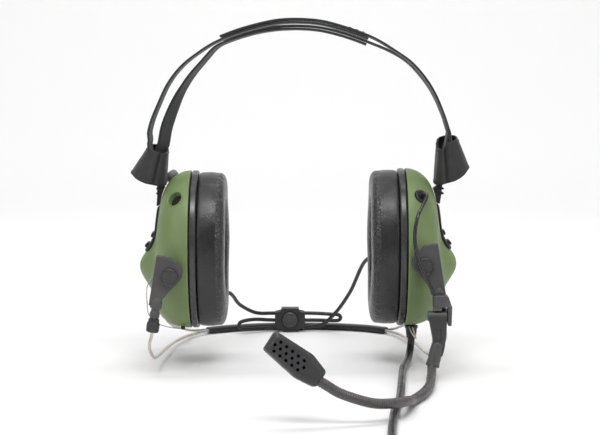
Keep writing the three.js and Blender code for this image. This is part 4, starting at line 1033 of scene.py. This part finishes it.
cut(clamp, box1(76.2, 80.9, -53.3, -47.6, 38.95, 41.6), op="UNION")
cut(clamp, lathe("c", R_["at"](8, -ARM_Y), R_["dir"], [(3.9, 0), (3.9, 12)], None, 48), bar((74, HINGE[1], HINGE[2]), (90, HINGE[1], HINGE[2]), 1.85, n=40))
show(clamp, "right_arm", "boom_clamp")

goose = catmull(GOOSE, 1500)
gl38 = catmull(GOOSE, 38)
holder = slab("holder_blade", rounded_loop([(73.0, 36.0), (84.0, 36.0), (83.8, 26), (83.0, 18.5), (81.6, 12.4), (75.2, 11.4), (76.0, 17), (75.9, 22.5), (74.3, 30.9)], 1.2, 5), -53.2, -47.3, MAT["mic"], 0.8, 4)
gext = np.vstack([[gl38[0] + [0, 0.3, 2]], catmull(GOOSE, 1500)[:170]])
bore = tube("g", respace(gext, 60), 3.0, None, 28)
cut(holder, bore, box1(77.3, 81.0, -60, -52.6, 21.5, 28.5))
hub = lathe("hub", (73.0, HINGE[1], HINGE[2]), (1, 0, 0), rounded([(0.05, 0), (2.7, 0), (2.95, 0.3), (2.95, 10.8), (2.7, 11.1), (1.5, 11.1), (1.5, 13.4), (1.2, 13.8), (0.05, 13.8)], 0.2, 3), MAT["arm"], 56)
c0, c1 = np.array([79.3, -50.5, 20.4]), np.array([75.75, -51.9, 6.6])
post = lathe("post", c0, c1 - c0, rounded([(0.05, 0), (2.9, 0.1), (3.5, 0.9), (3.75, 5.0), (3.8, 12.6), (4.0, 12.9), (4.0, 14.0), (3.7, 14.35), (0.05, 14.35)], 0.35, 3), MAT["arm"], 64)
cut(post, tube("g2", respace(gext, 60), 2.8, None, 28))
bb = np.array([v.co for v in holder.data.vertices])
print("holder blade", (bb.min(0) * 1000).round(1), (bb.max(0) * 1000).round(1))
holder = join("holder_blade", [holder, hub, post])
show(holder, "boom", "boom_holder")

# gooseneck wound from flat strip: fine spiral ribs
t_, u_, w_ = frames(goose)
sg = np.concatenate([[0], np.cumsum(np.linalg.norm(np.diff(goose, axis=0), axis=1))])
NG = 20
th = 2 * math.pi * np.arange(NG) / NG
rg = []
for i in range(len(goose)):
    ph = 2 * math.pi * sg[i] / 1.35 - th
    r = 2.64 - 0.16 * (0.5 - 0.5 * np.cos(ph)) ** 2
    rg.append(goose[i] + (r * np.cos(th))[:, None] * u_[i] + (r * np.sin(th))[:, None] * w_[i])
gn = loft("gooseneck_coil", rg, MAT["goose"], angle=75)
show(gn, "boom", "boom_gooseneck")

# microphone head
mc_ = np.array([-2.6, -172.4, 33.2])
mu = unit([-0.775, -0.045, 0.63])
mn_ = np.array([0.08, -0.93, 0.35])
mn_ = unit(mn_ - mn_.dot(mu) * mu)
mw = np.cross(mu, mn_)
half, hw = 16.6, 6.6
O2 = rounded_loop([(-16.3, -4.6), (-5.5, -6.9), (15.7, -5.5), (16.4, 5.3), (-5.8, 7.5), (-16.1, 4.8)], 1.5, 5)


def mic_ring(h, k):
    return [mc_ + mu * (a - math.copysign(min(abs(a), k), a)) + mw * (b - math.copysign(min(abs(b), k), b)) + mn_ * h for a, b in O2]


cover = loft("mic_front", [mic_ring(h, k) for h, k in ((0.12, 0.25), (0.3, 0.02), (1.9, 0.02), (2.25, 0.12), (3.75, 1.45), (4.0, 1.8), (4.08, 2.3))], MAT["mic"], angle=40)
holes = []
for b in (-3.7, -0.9, 1.9):
    for a in ((-3.4, 0.3, 4.0, 7.7, 11.4) if b != -0.9 else (-5.2, -1.5, 2.2, 5.9, 9.6, 12.9)):
        q = mc_ + mu * a + mw * b
        holes.append(bar(q + mn_ * 1.2, q + mn_ * 7, 0.82, n=20, mat=MAT["hole"]))
for h in holes:
    h.data.materials.clear()
hs = join("holes", holes)
hs.data.materials.clear()
cover.data.materials.append(MAT["hole"])
cut(cover, hs)
neck_bore = (np.array([8.3, -172.3, 23.3]), np.array([18.8, -169.5, 16.4]))
cut(cover, bar(*neck_bore, 2.9, n=40))
# the walls and bottoms of the grille holes take the near-black hole colour: painted shade inside the holes
for p in cover.data.polygons:
    c = np.array(p.center) * 1000 - np.array([0, OFF_Y, 0])
    h = (c - mc_).dot(mn_)
    nrm_ = np.array(p.normal)
    ra, rb = (c - mc_).dot(mu), (c - mc_).dot(mw)
    if 1.0 < h < 4.07 and abs(ra) < 14 and abs(rb) < 4.4 and (abs(nrm_.dot(mn_)) < 0.3 or h < 1.6):
        p.material_index = 1
show(cover, "boom", "mic_cover")
back = loft("mic_back", [mic_ring(h, k) for h, k in ((-4.18, 3.0), (-4.1, 2.0), (-3.7, 1.1), (-3.1, 0.4), (-2.5, 0.05), (-0.6, 0.02), (-0.3, 0.3), (-0.15, 0.5))], MAT["mic"], angle=40)
cut(back, bar(*neck_bore, 2.9, n=40))
show(back, "boom", "mic_housing")

# boom cable
pc, pn = surf(RIGHT, *PORT), snorm(RIGHT, *PORT)
bc = np.vstack([[pc + pn * 0.0], catmull([pc + pn * 0.3, pc + pn * 3.4 + [0, 0, -0.3], pc + pn * 5.6 + [0, 0, -2.6], [67.6, -44.6, 92.5], [65.8, -46.6, 82.5], [66.2, -48.2, 74.5], [68.2, -51.0, 66.0], [72.4, -51.6, 56.6], [75.6, -51.0, 49.8], [76.0, -50.6, 47.8]], 300)])
bc = respace(bc, 320)
bcab = tube("boom_lead", bc, 1.1, MAT["boomcable"], 18)
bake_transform(bcab)
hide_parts("boom_cable")

# ------------------------------------------------------------------ head straps
strapA = [[-91.2, 132.2], [-88.1, 145.3], [-83.4, 156.5], [-77.6, 167.7], [-69.7, 177.7], [-61.8, 184.4], [-51.5, 191.1], [-38.2, 196.7], [-25, 200.6], [-12, 203.2], [0, 203.6], [12, 202.6], [24, 199.6], [37, 195.2], [50.6, 189.0], [63, 181.6], [72.1, 172.1], [79.1, 161.8], [84.6, 150.0], [88.6, 138.4]]
strapB = [[-84.6, 132.4], [-82.4, 143.2], [-74.8, 160.5], [-65.8, 174.4], [-56.2, 185.2], [-50.4, 190.0], [-38.3, 194.9], [-25.5, 198.4], [-13, 200.2], [0, 200.6], [12, 199.6], [24, 196.8], [37, 192.4], [50.6, 186.2], [62, 178.8], [71, 169.2], [77.6, 159.4], [82.4, 148.4], [85.4, 138.2]]


def band_sec(w, h):
    """A woven band: flat faces, slightly thicker selvedges."""
    xs = np.linspace(-1, 1, 15)
    top = [(x * w / 2, h / 2 * (1.0 + 0.12 * math.exp(-((abs(x) - 0.93) / 0.07) ** 2)) * (1 if abs(x) < 0.99 else 0.6)) for x in xs]
    return top + [(a, -b) for a, b in reversed(top)]


def strap(name, line, ys, twist):
    n0 = len(line) - 1
    ctrl = [[x, ys[0] + (ys[1] - ys[0]) * math.sin(math.pi * i / n0) + ys[2] * (i / n0), z] for i, (x, z) in enumerate(line)]
    pts = catmull(ctrl, 420)
    tt = np.linspace(0, 1, 421)
    rear = name == "rear"

    def ease(v, a, b):
        k_ = np.clip((v - a) / (b - a), 0, 1)
        return k_ * k_ * (3 - 2 * k_)
    # how the two bands lie together on the way down to the guards
    out_r, out_l = (1.35, -1.5) if rear else (-1.15, 0.0)
    side_r, side_l = ease(pts[:, 0], 40, 62), ease(-pts[:, 0], 46, 62)
    ctr = np.array([0, 0, 108.0])
    radial = pts - ctr
    radial[:, 1] = 0
    radial /= np.linalg.norm(radial, axis=1)[:, None]
    pts = pts + radial * (out_r * side_r + out_l * side_l)[:, None]
    if rear:
        low_l = ease(-pts[:, 2], -166, -134) * (pts[:, 0] < 0)
        low_r = ease(-pts[:, 2], -170, -140) * (pts[:, 0] > 0)
        pts[:, 1] += -10.8 * low_l - 5.2 * low_r
        pts[:, 0] += 1.6 * low_l
    else:
        pts[:, 1] += 1.0 * ease(-pts[:, 2], -160, -134)
        pts[:, 0] += 1.5 * ease(-pts[:, 2], -140, -133) * (pts[:, 0] < 0)

    def take(label, x0, x1, lift, flip):
        sel = (pts[:, 0] >= x0) & (pts[:, 0] <= x1)
        path, t = pts[sel], tt[sel]
        tan = np.gradient(path, axis=0)
        tan /= np.linalg.norm(tan, axis=1)[:, None]
        nrm = -np.cross(tan, [0, 1, 0])
        nrm /= np.linalg.norm(nrm, axis=1)[:, None]
        bad = (nrm[:, 2] < 0) | ((np.abs(nrm[:, 2]) < 0.2) & (nrm[:, 0] * path[:, 0] < 0))
        nrm[bad] *= -1
        # the webbing waves a little where the layers lie loose
        wave = 0.16 * np.sin(t * 31 + (0.4 if lift else 2.0)) * np.clip((np.abs(path[:, 0]) - 48) / 12, 0, 1)
        path = path + nrm * (lift + wave)[:, None]
        # the end runs on down inside its guard
        k_ = 22
        if label == "left":
            goal = np.array([-85.3 if rear else -88.6, -2.0, 121.5])
            more = np.array([path[0] + (goal - path[0]) * q for q in np.linspace(1, 0, k_, endpoint=False)])
            path, t = np.vstack([more, path]), np.concatenate([np.full(k_, t[0]), t])
        else:
            goal = np.array([86.2 if rear else 90.0, -2.0, 127.5])
            more = np.array([path[-1] + (goal - path[-1]) * q for q in np.linspace(1, 0, k_, endpoint=False)[::-1]])
            path, t = np.vstack([path, more]), np.concatenate([t, np.full(k_, t[-1])])
        path = np.vstack([path[:1], (path[:-2] + 2 * path[1:-1] + path[2:]) / 4, path[-1:]])
        wd = lambda u, t=t: (math.sin(twist * (1 - np.interp(u, np.linspace(0, 1, len(t)), t)) ** 3), math.cos(twist * (1 - np.interp(u, np.linspace(0, 1, len(t)), t)) ** 3), 0)
        ob = sweep(f"strap_{name}_{label}_band", path, band_sec(12.6, 1.35), MAT["web"], side=wd, wv=True, angle=60)
        hi = path[-1] if label == "left" else path[0]
        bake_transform(ob)
        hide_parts(f"strap_{name}_{label}")
        return path, wd

    L1 = take("left", -200, 40, 0, False)
    L2 = take("right", -46, 200, 1.85, True)
    return L1, L2


SA = strap("front", strapA, [-3, -14, 0], 0.1)
SB = strap("rear", strapB, [9.5, 14, -6], 0.5)

# stitching across the overlap: two rows of thread along the upper layer of each strap
def stitch_box(path, wd, i0, i1, lift, body_name, name):
    t, u, w = frames(path, wd)
    seg = path[i0:i1]
    pts = []
    parts_ = []
    k = 0
    total = length_of(seg)
    fine = respace(seg, int(total / 1.9))
    for side_ in (-4.6, 4.6):
        for j in range(0, len(fine) - 1, 2):
            a, b = fine[j], fine[j + 1]
            ii = i0 + int((i1 - i0) * j / max(1, len(fine) - 1))
            nrm = w[ii] * (1 if w[ii][2] > 0 else -1)
            p = a + u[ii] * side_ + nrm * (lift - 0.05)
            q = b + u[ii] * side_ + nrm * (lift - 0.05)
            m = (p + q) / 2 + nrm * 0.22
            parts_.append(tube(f"s{k}", [p, m, q], 0.26, MAT["thread"], 6))
            k += 1
    ob = join(name, parts_)
    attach(ob, body_name)
    return ob


i_a = int(np.argmin(np.abs(SA[1][0][:, 0] - 28)))
i_b = int(np.argmin(np.abs(SA[1][0][:, 0] - 38)))
stitch_box(SA[1][0], SA[1][1], i_a, i_b, 0.72, "neckband", "stitches_front")
i_a = int(np.argmin(np.abs(SB[1][0][:, 0] + 40)))
i_b = int(np.argmin(np.abs(SB[1][0][:, 0] + 30)))
stitch_box(SB[1][0], SB[1][1], i_a, i_b, 0.72, "neckband", "stitches_rear")

# ------------------------------------------------------------------ strap guards: a flared flap of coated cloth, sewn into a pocket
def guard(side, cup):
    s = cup["s"]
    top, bot = (84.9 if side == "left" else 88.0, 6.4, 8.5), (90.4, 10.8, 14.0)
    K, M_ = 144, 26

    def pt(k, j, inset):
        t = 2 * math.pi * j / K
        c, q = math.cos(t), math.sin(t)
        # flatter front and back than a cone, with a soft fold down each side
        cc = math.copysign(abs(c) ** 0.82, c)
        qq = math.copysign(abs(q) ** 0.82, q)
        fold = 0.45 * math.sin(3 * t + 0.8 + 0.9 * k) * k + 0.35 * math.sin(7 * t + 2.0) * k ** 2
        cx = top[0] + (bot[0] - top[0]) * k
        # the cloth is folded over on the inner front into a pocket, with a deep crease beside it
        crease = -1.5 * math.exp(-((t - 4.46) / 0.07) ** 2) + 1.1 * math.exp(-((t - 4.0) / 0.42) ** 4) + 0.5 * math.exp(-((t - 4.7) / 0.1) ** 2)
        ax = top[1] + (bot[1] - top[1]) * k ** 0.92 - inset + fold * 0.5 + crease * 0.4
        ay = top[2] + (bot[2] - top[2]) * k - inset + fold + crease
        o = (c + 1) / 2
        pocket = 1 / (1 + math.exp(-(t - 3.3) / 0.05)) / (1 + math.exp((t - 4.46) / 0.05))
        z0 = (128.2 if side == "left" else 133.6) + 2 * o + 1.8 * q - (0.6 if side == "left" else 3.6) * pocket
        z1 = (107.6 if side == "left" else 108.4) + (7.4 if side == "left" else 9.6) * o ** 2.2
        return (s * (cx + ax * cc * 0.985), -2 + ay * qq * 0.985, z0 + (z1 - z0) * k)

    rings = []
    ks = np.linspace(0, 1, M_)
    for k in ks:
        rings.append([pt(k, j, 0) for j in range(K)])
    rings.append([tuple(np.array(pt(1, j, 0.2)) + [0, 0, -0.35]) for j in range(K)])
    rings.append([tuple(np.array(pt(1, j, 0.9)) + [0, 0, -0.35]) for j in range(K)])
    for k in ks[::-1]:
        rings.append([pt(k, j, 1.1) for j in range(K)])
    rings.append([tuple(np.array(pt(0, j, 0.9)) + [0, 0, 0.35]) for j in range(K)])
    rings.append([tuple(np.array(pt(0, j, 0.2)) + [0, 0, 0.35]) for j in range(K)])
    ob = loft(f"{side}_guard_cloth", rings, MAT["guard"], loop=True, angle=60)
    # hem seams
    seams = []
    for k0 in (0.07, 0.94):
        line = [np.array(pt(k0, j, -0.12)) for j in range(K)]
        for j in range(0, K, 2):
            a, b = line[j], line[(j + 1) % K]
            seams.append(tube("g", [a, (a + b) / 2, a + (b - a) * 0.98], 0.2, MAT["thread"], 6))
    ob = join(f"{side}_guard_cloth", [ob] + seams)
    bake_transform(ob)
    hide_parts(f"{side}_strap_guard")


guard("left", LEFT)
guard("right", RIGHT)

# ------------------------------------------------------------------ floor, backdrop and light
def floor():
    me = bpy.data.meshes.new("floor")
    v, f = [], []
    prof = [(-3.0, 0.0), (1.2, 0.0)] + [(1.2 + 0.8 * math.sin(a), 0.8 - 0.8 * math.cos(a)) for a in np.linspace(0.08, math.pi / 2, 16)] + [(2.0, 4.0)]
    for y, z in prof:
        v += [(-4.0, y, z - 0.0004), (4.0, y, z - 0.0004)]
    for i in range(len(prof) - 1):
        f.append((2 * i, 2 * i + 1, 2 * i + 3, 2 * i + 2))
    me.from_pydata(v, [], f)
    me.polygons.foreach_set("use_smooth", [True] * len(f))
    ob = bpy.data.objects.new("floor", me)
    bpy.context.scene.collection.objects.link(ob)
    m, nt, b = principled("studio_paper")
    sep = nt.nodes.new("ShaderNodeSeparateXYZ")
    nt.links.new(coords(nt), sep.inputs[0])
    lift = maprange(nt, sep.outputs[1], 0.2, 1.5, 0.82, 0.94)
    tone = nt.nodes.new("ShaderNodeCombineColor")
    for k in range(3):
        nt.links.new(lift, tone.inputs[k])
    nt.links.new(tone.outputs[0], b.inputs["Base Color"])
    b.inputs["Roughness"].default_value = 0.9
    b.inputs["Specular IOR Level"].default_value = 0.1
    bump(nt, [(noise(nt, coords(nt), 900.0, 3.0), 0.05, 0.2)], b)
    me.materials.append(m)


floor()
world = bpy.data.worlds.new("studio")
bpy.context.scene.world = world
world.use_nodes = True
bg = world.node_tree.nodes["Background"]
bg.inputs["Color"].default_value = (1.0, 1.0, 0.995, 1)
bg.inputs["Strength"].default_value = 0.28


def area(name, loc, aim, size, power, color=(1, 1, 1)):
    d = bpy.data.lights.new(name, "AREA")
    d.shape = "RECTANGLE"
    d.size, d.size_y = size
    d.energy = power
    d.color = color
    ob = bpy.data.objects.new(name, d)
    ob.location = loc
    ob.rotation_euler = (Vector(aim) - Vector(loc)).to_track_quat("-Z", "Y").to_euler()
    bpy.context.scene.collection.objects.link(ob)


area("key", (0.0, -0.8, 1.35), (0, 0, 0.05), (1.1, 0.5), 13.0)
area("left", (-1.5, -1.0, 0.9), (0, 0, 0.08), (0.7, 0.9), 6.3)
area("right", (1.5, -1.0, 0.9), (0, 0, 0.08), (0.7, 0.9), 6.3)
area("back", (0.0, 0.3, 1.6), (0, 0.1, 0), (1.6, 0.8), 6.0)
area("wall", (0.0, 0.4, 2.4), (0, 2.0, 0.5), (2.4, 0.8), 26.0)
bpy.context.scene.view_settings.view_transform = "Standard"
bpy.context.scene.view_settings.look = "None"
